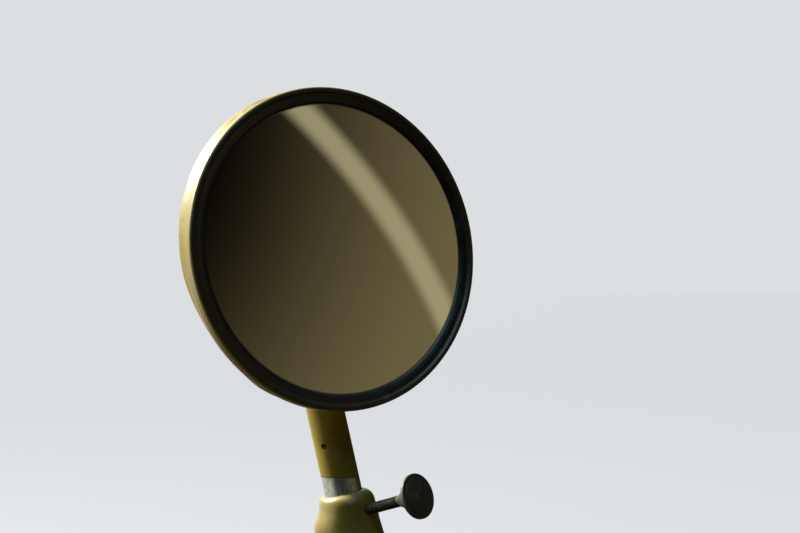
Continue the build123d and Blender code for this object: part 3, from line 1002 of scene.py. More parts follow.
@dataclass(frozen=True)
class OpalAcrylic(Finish):
    """Opal acrylic of a photographer's light table: matt, and lit from below, so that it stays evenly pale."""

    sheet: str = "#2c2c2e"
    glow: str = "#dcdfe2"

    def dress(self, tree: Tree, shader: bpy.types.Node, place: Socket) -> None:
        """One flat tone with the light that comes through, and the faintest moulded texture."""
        moulded = add(tree, "TexNoise", place, 1.0, per(8.0), 3.0, noise_dimensions="4D")
        Coats(tree, self.sheet, 0.9, add(tree, "Math", moulded, 0.01, operation="MULTIPLY")).finish(shader)
        shader.inputs["Emission Color"].default_value = linear(self.glow)
        shader.inputs["Emission Strength"].default_value = 0.92
        shader.inputs["Specular IOR Level"].default_value = 0.1


def linked(name: str, data: bpy.types.ID) -> bpy.types.Object:
    """Makes an object of a mesh, a light or a camera and puts it in the scene."""
    made = bpy.data.objects.new(name, data)
    bpy.context.scene.collection.objects.link(made)
    return made


def creased(mesh: bpy.types.Mesh) -> None:
    """Shades a mesh smooth, but for its sharp edges."""
    mesh.shade_smooth()
    mesh.set_sharp_from_angle(angle=np.radians(SHARP_DEG))


def applied(made: bpy.types.Object) -> None:
    """Replaces an object's mesh by what its modifiers make of it."""
    bpy.context.view_layer.update()
    shaped = bpy.data.meshes.new_from_object(made.evaluated_get(bpy.context.evaluated_depsgraph_get()))
    made.modifiers.clear()
    shaped.name = made.name
    made.data = shaped


def piece(
    name: str, skin: Skin, finish: Finish, body: Body, replaces: Sequence[str] = ()
) -> bpy.types.Object:
    """Makes one finished piece of a skin and gives it to its body.

    Args:
        name: The piece's name.
        skin: Its surfaces.
        finish: Its finish.
        body: Body that it rides on.
        replaces: CAD nodes that it stands for.

    Returns:
        The piece's object.
    """
    mesh = skin.mesh(name)
    creased(mesh)
    return settle(linked(name, mesh), finish, body, replaces)


def settle(
    made: bpy.types.Object, finish: Finish, body: Body, replaces: Sequence[str] = ()
) -> bpy.types.Object:
    """Dresses a piece, gives it to its body and hides the CAD nodes that it stands for.

    Args:
        made: The piece's object.
        finish: Its finish.
        body: Body that it rides on.
        replaces: CAD nodes that it stands for.

    Returns:
        The same object.
    """
    made.data.materials.clear()
    made.data.materials.append(finish.material())
    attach(made, body.value)
    if replaces:
        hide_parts(*replaces)
    log.info("%s: %d faces, %s, rides on %s", made.name, len(made.data.polygons), finish.name, body.value)
    return made


def casting(name: str, node: str, voxel_mm: float, rounds: int) -> bpy.types.Object:
    """Copies a CAD node as a casting, with the soft edges and blends that sand moulding leaves.

    The copy's doubles are merged, it is remeshed in voxels, and each round of smoothing moves every point halfway to
    the mean of its neighbours.

    Args:
        name: The new object's name.
        node: CAD node to copy.
        voxel_mm: Size of a voxel.
        rounds: Rounds of smoothing.

    Returns:
        The casting's object.
    """
    copy = linked(name, frame["nodes"][node].data.copy())
    copy.modifiers.new("Weld", "WELD").merge_threshold = 1e-6
    voxels = copy.modifiers.new("Voxels", "REMESH")
    voxels.mode, voxels.voxel_size, voxels.use_smooth_shade = "VOXEL", voxel_mm * MM, True
    soften = copy.modifiers.new("Soften", "SMOOTH")
    soften.factor, soften.iterations = 0.5, rounds
    applied(copy)
    copy.data.shade_smooth()
    return copy


def pushed(made: bpy.types.Object, rise_mm: Array, node: str) -> None:
    """Moves each vertex along its normal, and keeps it inside the node's own box.

    Args:
        made: The object.
        rise_mm: How far each vertex moves.
        node: CAD node whose box it keeps to.
    """
    mesh = made.data
    normals = np.empty(3 * len(mesh.vertices), np.float32)
    mesh.vertices.foreach_get("normal", normals)
    low, high = (np.array(corner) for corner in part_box(node))
    points = np.clip(coordinates(mesh) + MM * rise_mm[:, None] * normals.reshape(-1, 3), low, high)
    mesh.vertices.foreach_set("co", points.ravel().astype(np.float32))
    mesh.update()


def cut_out(made: bpy.types.Object, tool: Skin) -> None:
    """Cuts a closed shape out of a piece, whose mesh becomes the difference of the two.

    Args:
        made: The piece.
        tool: The shape to cut out.
    """
    mesh = tool.mesh("tool")
    cutter = linked("tool", mesh)
    cut = made.modifiers.new("Cut", "BOOLEAN")
    cut.operation, cut.solver, cut.object = "DIFFERENCE", "EXACT", cutter
    applied(made)
    creased(made.data)
    bpy.data.objects.remove(cutter)
    bpy.data.meshes.remove(mesh)


def unevenness(points_mm: Array, wave_mm: float, seed: int) -> Array:
    """Gives a smooth random relief of about -1 to 1: a sum of twelve sine waves in random directions.

    Args:
        points_mm: Where, in millimetres.
        wave_mm: Shortest wave.
        seed: Picks another pattern.

    Returns:
        The relief at each point.
    """
    rng = np.random.default_rng(seed)
    waves = rng.normal(size=(12, 3))
    waves *= (FULL_TURN / wave_mm * rng.uniform(0.4, 1.0, 12) / np.linalg.norm(waves, axis=1))[:, None]
    return np.sin(points_mm @ waves.T + rng.uniform(0, FULL_TURN, 12)).sum(1) / 4


@dataclass(frozen=True)
class Finishes:
    """The object's finishes."""

    olive: OliveEnamel
    cast: OliveEnamel
    stem: StemEnamel
    bracket: BracketEnamel
    rim: RimEnamel
    rubber: Rubber
    glass: SilveredGlass
    screw: OiledSteel
    steel: OiledSteel
    fibre: VulcanisedFibre


@dataclass
class Assembly:
    """Pieces that are built together, with the lines and finishes that all of them share."""

    layout: Layout
    finishes: Finishes

    def build(self) -> None:
        """Builds the pieces."""
        raise NotImplementedError


@dataclass
class MirrorHead(Assembly):
    """The head: pressed dish, rolled rim, rubber channel, convex glass and riveted yoke.

    Depths are measured back from the rim's front plane and radii from its middle, all in millimetres.
    """

    rim_r: float = 69.98
    rim_crest: tuple[float, float] = (68.0, -0.03)
    rim_slope: tuple[float, float] = (66.9, -0.6)
    rim_dip: float = 0.7
    rim_lip_r: float = 66.4
    rim_skirt: float = 4.5
    rim_front: float = 1.2
    rim_sheet: float = 0.95
    mouth_r: float = 69.0
    shell_sheet: float = 1.2
    straight_depth: float = 7.0
    shoulder_depth: float = 12.0
    shoulder_r: float = 68.78
    rise: float = 2.3
    heel_r: float = 61.5
    heel_depth: float = 17.6
    seat_r: float = 32.0
    seat_depth: float = 19.5
    seal_inner_r: float = 62.7
    seal_outer_r: float = 67.7
    seal_back: float = 6.5
    seal_top: float = 0.68
    seal_slope: tuple[tuple[float, float], ...] = ((65.0, -0.95), (63.6, -1.4))
    seal_toe: tuple[float, float] = (62.85, -1.8)
    seal_ledge_r: float = 63.7
    glass_r: float = 65.2
    glass_thick: float = 3.0
    glass_curve: float = 500.0
    glass_edge_depth: float = 1.9
    fit: float = 0.05
    plate_front: float = -23.5
    plate_thick: float = 3.0
    plate_half: tuple[float, float] = (27.0, 15.0)
    ear_inner: float = 15.3
    ear_end_r: float = 7.0
    ear_root: float = 11.0
    weld_half: float = 10.2
    rivet_at: tuple[float, float] = (22.5, 9.0)
    rivet_r: float = 3.8
    rivet_rise: float = 2.2
    # Knocks in the dish's wall: angle round the rim, spread in degrees, and how far the wall is pushed out
    knocks: tuple[tuple[float, float, float], ...] = ((199.0, 15.0, -1.0), (230.0, 7.0, 1.1))

    def shell(self) -> None:
        """Builds the pressed dish.

        A profile of the back, shoulder and straight wall goes round the head's axis. Behind the straight wall the
        whole shape is shifted up the stem, easing to its full rise. Each knock moves the wall in or out by a bell
        curve of the angle, easing from nothing at the rim to all of it at the shoulder.
        """
        mouth = -self.rim_front - self.fit
        inner = self.mouth_r - self.shell_sheet
        start = (self.shoulder_r, -self.shoulder_depth)
        heel = (self.heel_r, -self.heel_depth)
        bulge = (heel[0] + 0.74 * (start[0] - heel[0]), start[1] - 0.62 * (start[1] - heel[1]))
        seat = rounded([(*heel, 0), (self.seat_r, -self.seat_depth, 60), (0, -self.seat_depth, 0)])
        outside = np.concatenate([seat[::-1], through(heel, bulge, start)[1:], [[self.mouth_r, -self.straight_depth]]])
        wall = dense(np.array([[self.mouth_r, -self.straight_depth], [self.mouth_r, mouth]]), 1.0)[1:]
        back = self.shell_sheet - self.seat_depth
        inside = [[inner, mouth], [inner, -self.shoulder_depth], [self.heel_r - 1, 1.5 - self.heel_depth], [0, back]]
        profile = np.concatenate([dense(outside, 1.2), wall, np.array(inside)])
        grid = lathe(profile, 240)
        depth = -grid[..., 2]
        angle = np.degrees(np.arctan2(grid[..., 1], grid[..., 0])) % 360
        radius = np.hypot(grid[..., 0], grid[..., 1])
        push = sum(far * np.exp(-(((angle - at) / spread) ** 2)) for at, spread, far in self.knocks)
        push = push * smooth(depth, 3.0, self.shoulder_depth) * smooth(radius, 40.0, self.heel_r)
        grid = resized(grid, radius + push)
        grid[..., 1] += self.rise * smooth(depth, self.straight_depth - 1.0, self.shoulder_depth + 1.0)
        skin = Skin().add(grid, self.layout.head, Ends.POLES)
        piece("shell_pressing", skin, self.finishes.olive, Body.HEAD, ["shell"])

    def rim(self) -> None:
        """Builds the rolled rim: a skirt, a round bead and a lip that dips to the rubber, round the head's axis."""
        corners = [
            (self.rim_r, -self.rim_skirt, 0.3),
            (self.rim_r, 0, 1.3),
            (*self.rim_crest, 0.8),
            (*self.rim_slope, 0.8),
            (self.rim_lip_r, -self.rim_dip, 0.1),
            (self.rim_lip_r, -self.rim_front, 0),
            (self.rim_r - self.rim_sheet, -self.rim_front, 0.3),
            (self.rim_r - self.rim_sheet, -self.rim_skirt, 0.15),
        ]
        skin = Skin().add(lathe(rounded(corners, True), 288), self.layout.head)
        piece("rim_ring", skin, self.finishes.rim, Body.HEAD, ["rim"])

    def glass_height(self, radius: Array, back: float = 0.0) -> Array:
        """Height of the convex face, or of one parallel to it: the sphere's, less the edge's own depth."""
        centre = -self.glass_edge_depth - np.sqrt(self.glass_curve**2 - self.seal_inner_r**2)
        return centre + np.sqrt((self.glass_curve - back) ** 2 - radius**2)

    def seal(self) -> None:
        """Builds the rubber channel: a smooth curve that runs ever steeper from the rim's lip down to the glass."""
        lip_r = self.rim_lip_r - self.fit
        groove_r = self.glass_r + self.fit
        groove = float(self.glass_height(self.glass_r, self.glass_thick)) - self.fit
        corners = [
            (self.seal_outer_r, -self.rim_front - self.fit, 0),
            (lip_r, -self.rim_front - self.fit, 0),
            (lip_r, -self.seal_top, 0.1),
            *((radius, height, 2.0) for radius, height in self.seal_slope),
            (*self.seal_toe, 0.1),
            (self.seal_inner_r, -self.glass_edge_depth + self.fit, 0),
            (groove_r, float(self.glass_height(self.glass_r)) + self.fit, 0),
            (groove_r, groove, 0),
            (self.seal_ledge_r, groove, 0),
            (self.seal_ledge_r, -self.seal_back, 0),
            (self.seal_outer_r, -self.seal_back, 0),
        ]
        skin = Skin().add(lathe(rounded(corners, True), 288), self.layout.head)
        piece("seal_channel", skin, self.finishes.rubber, Body.HEAD, ["seal"])

    def glass(self) -> None:
        """Builds the convex glass: a spherical front, a parallel back and a ground edge."""
        radius = self.glass_r * np.linspace(0, 1, 48)
        front = np.stack([radius, self.glass_height(radius)], -1)
        back = np.stack([radius, self.glass_height(radius, self.glass_thick)], -1)
        skin = Skin().add(lathe(np.concatenate([back, front[::-1]]), 240), self.layout.head, Ends.POLES)
        piece("glass_convex", skin, self.finishes.glass, Body.HEAD, ["mirror_glass"])

    def yoke(self) -> None:
        """Builds the yoke: a rounded plate and two ears, each with a weld along both sides of its root."""
        front, thick, wide, end = self.plate_front, self.plate_thick, self.ear_root, self.ear_end_r
        swivel = self.layout.swivel
        plate = slab(oblong(*self.plate_half, 6.0, 8), thick, 0.5)
        skin = Skin().add(plate, swivel.at(y=front).facing((0, 1, 0), (1, 0, 0)), Ends.POLES)
        tip = wide - (wide - end) * (end - front) / -front
        root = front + 0.5
        ear = rounded([(root, -wide, 0.3), (end, -tip, 5.7), (end, tip, 5.7), (root, wide, 0.3)], True, 10)
        for side in (-1, 1):
            start = self.ear_inner if side > 0 else -self.ear_inner - thick
            skin.add(slab(ear, thick, 0.45), swivel.at(x=start).facing((1, 0, 0), (0, 1, 0)), Ends.POLES)
            for face in (self.ear_inner, self.ear_inner + thick):
                self.weld(skin, side * face, front + thick, self.weld_half)
        piece("yoke_welded", skin, self.finishes.olive, Body.HEAD, ["yoke"])

    def weld(self, skin: Skin, x: float, y: float, half: float) -> None:
        """Adds a weld bead along z: a round bead whose size ripples as the puddle froze.

        Args:
            skin: Skin to add it to.
            x: Its place along the tilt axis.
            y: Its place across it.
            half: Half its length.
        """
        z = np.linspace(-half, half, 90)
        path = np.stack([x + 0 * z, y + 0 * z, z], -1)
        ripple = 1.25 + 0.13 * np.abs(np.sin(np.pi * z / 1.5 + x)) + 0.08 * np.sin(z * 0.7 + 2 * x)
        ripple *= np.sqrt(np.clip(1 - (np.abs(z) / (half + 0.4)) ** 8, 0, 1))
        skin.add(carried(path, np.array([1.0, 0, 0]), circle(1.0), ripple), self.layout.swivel, Ends.POLES)

    def rivets(self) -> None:
        """Builds four snap-head rivets: a round head, a little flattened by the tool, over a short shank."""
        head_r, rise = self.rivet_r, self.rivet_rise
        dome = through((head_r, 0.25), (head_r * 0.74, rise * 0.62), (0.9, rise))
        profile = np.concatenate([[[0, -1.0], [2.0, -1.0], [2.0, 0.0], [head_r, 0.0]], dome, [[0, rise]]])
        skin = Skin()
        along, up = self.rivet_at
        for x in (-along, along):
            for z in (-up, up):
                spot = self.layout.swivel.at(x, self.plate_front + self.plate_thick, z).facing((0, 1, 0), (1, 0, 0))
                skin.add(lathe(profile, 40), spot, Ends.POLES)
        piece("rivets_snap_head", skin, self.finishes.olive, Body.HEAD, ["rivets"])

    def build(self) -> None:
        """Builds the whole head."""
        self.shell()
        self.rim()
        self.seal()
        self.glass()
        self.yoke()
        self.rivets()


@dataclass
class SwivelJoint(Assembly):
    """The clamp collar with its bolt, and the two pivot screws with their washers, in millimetres."""

    clamp_at: float = 18.5
    clamp_face: float = 5.5
    clamp_d: float = 5.0
    clamp_hex: float = 8.0
    clamp_head: float = 3.5
    clamp_nut: float = 4.0
    clamp_tail: float = 2.0
    clamp_pitch: float = 0.8
    thread_depth: float = 0.42
    boss_face: float = 14.0
    pivot_d: float = 6.0
    pivot_hex: float = 10.0
    pivot_head: float = 4.0
    pivot_inner: float = 9.3
    ear_outer: float = 18.3
    face_gap: float = 0.1
    fibre_d: float = 13.0
    fibre_thick: float = 1.2
    spring_d: float = 11.0
    spring_thick: float = 1.0

    def across(self, x: float, y: float = 0.0, side: int = 1) -> Axes:
        """Axes whose z runs outwards along the tilt axis, from x on the given side."""
        return self.layout.swivel.at(side * x, y).facing((side, 0, 0), (0, 0, 1))

    def hex_head(self, across: float, low: float, high: float, bore: float = 0.0) -> Array:
        """Builds a hexagon head or nut: flats, a turned chamfer at both ends and, on a nut, a bore with lead-ins.

        Args:
            across: Size across flats.
            low: Height of its seat.
            high: Height of its top.
            bore: Radius of its bore, or 0 for none.

        Returns:
            A grid, a loop if it has a bore.
        """
        corner = across / np.sqrt(3)
        land = 0.93 * across / 2
        cone = (corner - land) * np.tan(np.radians(30))
        rise = np.linspace(0, 1, 6)
        under = np.stack([land + (corner - land) * rise, low + 0.6 * cone * rise], -1)
        over = np.stack([corner - (corner - land) * rise, high - cone * (1 - rise)], -1)
        lead = 0.35
        if bore:
            ends = [(bore + lead, high), (bore, high - lead), (bore, low + lead), (bore + lead, low)]
            return hexagonal(lathe(np.concatenate([under, over, ends]), 96), across)
        return hexagonal(lathe(np.concatenate([[(0, low)], under, over, [(0.5 * land, high), (0, high)]]), 96), across)

    def collar(self) -> None:
        """Makes the split collar a malleable casting, with its surface a little uneven."""
        made = casting("collar_casting", "swivel_collar", 0.32, 6)
        pushed(made, 0.05 * unevenness(coordinates(made.data) / MM, 6.0, 3) - 0.04, "swivel_collar")
        settle(made, self.finishes.cast, Body.SWIVEL, ["swivel_collar"])

    def clamp_bolt(self) -> None:
        """Builds the clamp bolt: hexagon head, shank, and a threaded tail past the nut."""
        radius = self.clamp_d / 2
        tail = -self.clamp_face - self.clamp_nut - self.clamp_tail
        axes = self.across(0, self.clamp_at)
        tip = [(0, tail, 0), (radius - 0.45, tail, 0.1), (radius, tail + 0.5, 0.1)]
        rows = rounded(tip + [(radius, self.clamp_face, 0), (0, self.clamp_face, 0)])
        shank = threaded(lathe(dense(rows, 0.09), 40), tail, 0.0, self.clamp_pitch, self.thread_depth)
        head = self.hex_head(self.clamp_hex, self.clamp_face, self.clamp_face + self.clamp_head)
        skin = Skin().add(shank, axes, Ends.POLES).add(head, axes, Ends.POLES)
        piece("clamp_bolt_hex", skin, self.finishes.steel, Body.SWIVEL, ["clamp_bolt"])

    def clamp_nut_piece(self) -> None:
        """Builds the nut on the clamp bolt."""
        nut = self.hex_head(self.clamp_hex, -self.clamp_face - self.clamp_nut, -self.clamp_face, self.clamp_d / 2)
        skin = Skin().add(nut, self.across(0, self.clamp_at))
        piece("clamp_nut_hex", skin, self.finishes.steel, Body.SWIVEL, ["clamp_nut"])

    def pivot_screws(self) -> None:
        """Builds the two pivot screws: a shank with a chamfered end, and a hexagon head."""
        radius = self.pivot_d / 2
        seat = self.ear_outer + self.face_gap + self.spring_thick
        tip = [(0, self.pivot_inner, 0), (radius - 0.4, self.pivot_inner, 0.1), (radius, self.pivot_inner + 0.5, 0.1)]
        rows = rounded(tip + [(radius, seat, 0), (0, seat, 0)])
        skin = Skin()
        for side in (-1, 1):
            axes = self.across(0, 0, side)
            skin.add(lathe(rows, 40), axes, Ends.POLES)
            skin.add(self.hex_head(self.pivot_hex, seat, seat + self.pivot_head), axes, Ends.POLES)
        piece("pivot_screws_hex", skin, self.finishes.steel, Body.SWIVEL, ["pivot_screws"])

    def washers(self) -> None:
        """Builds the fibre washers, and the split spring washers as a coil of just under one turn."""
        bore = self.pivot_d / 2 + 0.05
        low, high = self.boss_face, self.boss_face + self.fibre_thick
        outer = self.fibre_d / 2
        flat = rounded([(bore, low, 0.1), (outer, low, 0.25), (outer, high, 0.25), (bore, high, 0.1)], True, 4)
        fibre, spring = Skin(), Skin()
        turn = np.radians(np.linspace(4, 356, 72))
        middle = (bore + self.spring_d / 2) / 2
        start = self.ear_outer + self.face_gap + self.spring_thick / 2
        coil = np.stack([middle * np.cos(turn), middle * np.sin(turn), start + 0.03 * np.cos(turn / 2)], -1)
        section = oblong((self.spring_d / 2 - bore) / 2, self.spring_thick / 2 - 0.03, 0.12, 3)
        outwards = np.stack([np.cos(turn), np.sin(turn), 0 * turn], -1)
        for side in (-1, 1):
            axes = self.across(0, 0, side)
            fibre.add(lathe(flat, 72), axes)
            spring.add(carried(coil, outwards, section), axes, Ends.POLES)
        piece("friction_washers_fibre", fibre, self.finishes.fibre, Body.SWIVEL, ["friction_washers"])
        piece("spring_washers_split", spring, self.finishes.steel, Body.SWIVEL, ["spring_washers"])

    def build(self) -> None:
        """Builds the whole joint."""
        self.collar()
        self.clamp_bolt()
        self.clamp_nut_piece()
        self.pivot_screws()
        self.washers()


@dataclass(frozen=True)
class Chip:
    """A chip knocked out of the stem's wall, in millimetres.

    Attributes:
        above_mouth: Height over the socket's mouth.
        turn: Angle round the stem, in degrees.
        radius: Its radius.
        depth: Its depth.
    """

    above_mouth: float = 22.6
    turn: float = -115.0
    radius: float = 1.3
    depth: float = 0.16

    def middle(self, layout: Layout, wall_r: float) -> Array:
        """Gives its middle in the column's frame: on the wall, at its angle and height."""
        turn = np.radians(self.turn)
        return np.array([wall_r * np.cos(turn), wall_r * np.sin(turn), layout.mouth + self.above_mouth])


@dataclass
class Stem(Assembly):
    """The telescoping stem with its cap and stop pin, in millimetres up from the head's pivot."""

    radius: float = 8.5
    wall: float = 1.6
    top: float = 15.0
    slide_up: float = 40.0
    socket_length: float = 62.0
    pin_margin: float = 1.0
    pin_r: float = 1.5
    pin_half: float = 13.0
    below_pin: float = 6.0
    cap_spigot: float = 8.0
    cap_flange: float = 1.2
    cap_crown: float = 3.2
    chip: Chip = Chip()

    def pin_at(self) -> float:
        """Height of the stop pin: below the socket by the stem's travel, a margin and its own radius."""
        return self.layout.mouth - self.socket_length - self.slide_up - self.pin_margin - self.pin_r

    def tube(self) -> None:
        """Builds the tube: outer wall, foot, bore and top, carried round the stem's axis.

        Rows lie close together round the chip, which sinks the wall by a bell curve of the distance from its
        middle, to the fourth power for a flat floor.
        """
        foot = self.pin_at() - self.below_pin
        inner = self.radius - self.wall
        corners = [(self.radius, foot, 0.35), (self.radius, self.top, 0.3), (inner, self.top, 0.2), (inner, foot, 0.35)]
        rows = dense(rounded(corners, True, 4), 6.0)
        chip = self.chip.middle(self.layout, self.radius)
        close = np.stack([np.full(25, self.radius), chip[2] + np.linspace(-3, 3, 25)], -1)
        split = int(np.argmax((rows[:-1, 1] < close[0, 1]) & (rows[1:, 1] > close[0, 1]))) + 1
        beyond = split + int(np.argmax(rows[split:, 1] > close[-1, 1]))
        grid = lathe(np.concatenate([rows[:split], close, rows[beyond:]]), 180)
        away = np.linalg.norm(grid - chip, axis=-1) / self.chip.radius
        grid = resized(grid, np.hypot(grid[..., 0], grid[..., 1]) - self.chip.depth * np.exp(-(away**4)))
        skin = Skin().add(grid, self.layout.column)
        piece("stem_tube_drawn", skin, self.finishes.stem, Body.STEM, ["stem_tube"])

    def cap(self) -> None:
        """Builds the domed cap: spigot, flange with a rounded edge, and a dome with a shallow pressed ring."""
        rim = self.top + self.cap_flange
        out = np.linspace(self.radius - 0.25, 0, 40)
        dome = domed(self.radius, rim, self.cap_crown, out)
        dome -= 0.22 * np.exp(-(((out - 4.6) / 0.5) ** 2))
        low = self.top - self.cap_spigot
        spigot = self.radius - self.wall - 0.05
        corners = [(0, low, 0), (spigot, low, 0.4), (spigot, self.top, 0), (self.radius, self.top, 0.15)]
        base = rounded(corners + [(self.radius, rim, 0)])
        profile = np.concatenate([base, np.stack([out, dome], -1)])
        skin = Skin().add(lathe(profile, 96), self.layout.column, Ends.POLES)
        piece("stem_cap_domed", skin, self.finishes.olive, Body.STEM, ["stem_cap"])

    def stop_pin(self) -> None:
        """Builds the cross pin, with slightly domed and chamfered ends."""
        half, radius = self.pin_half, self.pin_r
        corners = [(0, -half, 0), (radius - 0.35, -half + 0.05, 0.2), (radius, -half + 0.45, 0.2)]
        corners += [(radius, half - 0.45, 0.2), (radius - 0.35, half - 0.05, 0.2), (0, half, 0)]
        axes = self.layout.column.at(z=self.pin_at()).facing((0, 1, 0), (1, 0, 0))
        skin = Skin().add(lathe(rounded(corners, steps=4), 40), axes, Ends.POLES)
        piece("stop_pin_turned", skin, self.finishes.steel, Body.STEM, ["stop_pin"])

    def build(self) -> None:
        """Builds the whole stem."""
        self.tube()
        self.cap()
        self.stop_pin()


@dataclass
class LockScrew(Assembly):
    """The turned thumb screw, in millimetres out from the stem's axis."""

    tip: float = 9.0
    shank_r: float = 2.5
    tip_r: float = 1.8
    pitch: float = 0.8
    thread_depth: float = 0.42
    neck_at: float = 32.8
    neck_r: float = 3.0
    head_at: float = 42.6
    head_edge: float = 1.4
    head_r: float = 10.0
    flare: float = 9.1
    crown: float = 1.5
    lip: float = 1.3

    def build(self) -> None:
        """Builds the screw: dog point, real thread, concave flare and domed head with a turned lip.

        The lip's groove is a bell curve of the radius.
        """
        back = self.head_at - self.head_edge / 2
        front = self.head_at + self.head_edge / 2
        start = (self.neck_r, self.neck_at + 0.6)
        sag = (self.neck_r + 0.4 * (self.head_r - self.neck_r), back - 0.42 * self.flare)
        flare = through(start, sag, (self.head_r - 0.15, back), 24)
        tip = [(0, self.tip, 0), (self.tip_r, self.tip, 0.2), (self.shank_r, self.tip + 0.8, 0.1)]
        shank = dense(rounded(tip + [(self.shank_r, self.neck_at, 0.1), (*start, 0)]), 0.08)
        margin = self.head_r - self.lip
        face = front + self.lip / 5
        corners = [(self.head_r - 0.15, back, 0), (self.head_r, back + 0.2, 0.15), (self.head_r, front, 0.35)]
        edge = rounded(corners + [(margin, face, 0)], steps=4)
        out = np.linspace(margin, 0, 44)
        dome = domed(margin, face, self.crown, out)
        dome -= 0.25 * np.exp(-(((out - margin + 0.35) / 0.28) ** 2))
        profile = np.concatenate([shank, flare[1:], edge[1:], np.stack([out, dome], -1)[1:]])
        grid = threaded(lathe(profile, 64), self.tip + 1.2, self.neck_at - 0.6, self.pitch, self.thread_depth)
        skin = Skin().add(grid, self.layout.screw, Ends.POLES)
        piece("thumb_screw_turned", skin, self.finishes.screw, Body.LOCK_SCREW, ["thumb_screw"])


@dataclass
class Bracket(Assembly):
    """The bracket: a cast arm with its pad, and the socket that holds the stem, in millimetres."""

    pad_thick: float = 9.0
    flash: float = 0.32
    flash_half: float = 0.75
    bore_r: float = 8.6
    hole_r: float = 2.6
    shoulder: tuple[float, float] = (4.0, 5.6)
    socket_deep: float = 62.0
    foot_r: float = 3.0
    mouth_half: float = 12.75
    swell: float = 1.9
    flare: tuple[float, float] = (2.35, 4.25)
    outboard: tuple[float, float] = (2.0, 0.4)
    blend_mm: float = 4.5
    sections: tuple[float, float] = (-90.0, -84.0)

    def arm(self) -> bpy.types.Object:
        """Makes the arm a casting, with the mould's parting line along its top and bottom.

        The line is a bell curve of the distance from the arm's middle plane, and fades out at the pad.
        """
        made = casting("bracket_casting", "bracket_arm", 0.55, 8)
        points = coordinates(made.data) / MM
        line = self.flash * np.exp(-((points[:, 1] / self.flash_half) ** 2))
        line *= smooth(points[:, 0], -self.pad_thick - 2, -self.pad_thick - 12)
        pushed(made, line + 0.12 * unevenness(points, 16.0, 5), "bracket_arm")
        return settle(made, self.finishes.bracket, Body.BRACKET, ["bracket_arm"])

    def ring(self, depth: Array) -> tuple[Array, Array, Array]:
        """Gives the socket's half widths along x and y at a depth below its mouth, and how far it is shifted outboard.

        Under the shoulder it grows along x, and towards the root along both. At the mouth both are less by the
        shoulder's quarter ellipse, and at the foot by its fillet's quarter circle.
        """
        width, height = self.shoulder
        high = np.clip(1 - depth / height, 0, 1)
        low = np.clip((depth - self.socket_deep) / self.foot_r + 1, 0, 1)
        less = width * (1 - np.sqrt(1 - high**2)) + self.foot_r * (1 - np.sqrt(1 - low**2))
        half_x = self.mouth_half + self.swell * smooth(depth, 4, 13) + self.flare[0] * smooth(depth, 4, 46) - less
        half_y = self.mouth_half + self.flare[1] * smooth(depth, 4, 46) - less
        out, back = self.outboard
        return half_x, half_y, out * smooth(depth, 4, 14) - back * smooth(depth, 0, 4)

    def socket(self) -> None:
        """Builds the socket: its rings from the mouth to the foot, the bore, and the screw's drilled hole."""
        ease = 1 - np.cos(np.linspace(0, np.pi / 2, 16))
        deep, foot, high = self.socket_deep, self.foot_r, self.shoulder[1]
        depth = np.unique(np.concatenate([high * ease, np.arange(high, deep - foot, 0.8), deep - foot * ease]))
        half_x, half_y, shift = (value[:, None] for value in self.ring(depth))
        angle = np.linspace(0, FULL_TURN, 180, endpoint=False)
        across = half_x * np.cos(angle) - shift
        outside = np.stack([across, half_y * np.sin(angle), 0 * across - depth[:, None]], -1)
        bore = [(10, -deep, 0), (self.bore_r, -deep, 0.4), (self.bore_r, 0, 0.15), (10, 0, 0)]
        # Without the outline's ends, and without the rows at the mouth that would double the outside's first ring
        bore = rounded(bore)[1:-3]
        grid = np.concatenate([outside, lathe(dense(bore, 3.0), 180)])
        skin = Skin().add(grid, self.layout.column.at(z=self.layout.mouth))
        made = piece("socket_casting", skin, self.finishes.cast, Body.BRACKET, ["socket"])
        drill = lathe(np.array([[0, 0], [self.hole_r, 0], [self.hole_r, 40], [0, 40]]), 48)
        cut_out(made, Skin().add(drill, self.layout.screw, Ends.POLES))

    def section(self, points: Array, x: float) -> Array:
        """Measures the arm's half width, half height and middle height in a thin slice at x."""
        thin = points[np.abs(points[:, 0] - x) < 0.6]
        low, high = thin[:, 1:].min(0), thin[:, 1:].max(0)
        return np.array([(high[0] - low[0]) / 2, (high[1] - low[1]) / 2, (high[1] + low[1]) / 2])

    def on_socket(self, y: Array, z: Array, sink: float) -> Array:
        """Finds where lines along X meet the socket.

        In the column's frame the socket is an ellipse at every depth, about a middle that is shifted outboard, so
        the wanted x is its half width times the root of 1 less (y / its other half width) squared, less the shift.
        Each point is moved along X by the difference until it lies there.

        Args:
            y: Y of each line.
            z: Z of each line.
            sink: How far under the surface to stop.

        Returns:
            The points, in millimetres of the row's frame.
        """
        points = np.stack([np.full(y.shape, -100.0), y, z], -1)
        for _ in range(12):
            spot = self.layout.column.local(MM * points)
            half_x, half_y, shift = self.ring(self.layout.mouth - spot[..., 2])
            share = np.sqrt(np.maximum(1 - (spot[..., 1] / (half_y - sink)) ** 2, 0.01))
            wanted = (half_x - sink) * share - shift
            points[..., 0] += wanted - spot[..., 0]
        return points

    def blend(self, arm: bpy.types.Object) -> None:
        """Builds the cast blend between arm and socket.

        Round the arm's section, each line starts on the arm, ends on the socket and bends towards the corner
        between them: (1 - t) squared times the start, 2 t (1 - t) times the corner, t squared times the end. It
        goes back inside the metal.

        Args:
            arm: The arm's object.
        """
        points = coordinates(arm.data) / MM
        first, second = (self.section(points, x) for x in self.sections)
        slope = (second - first) / (self.sections[1] - self.sections[0])
        turn = np.linspace(0, FULL_TURN, 144, endpoint=False)

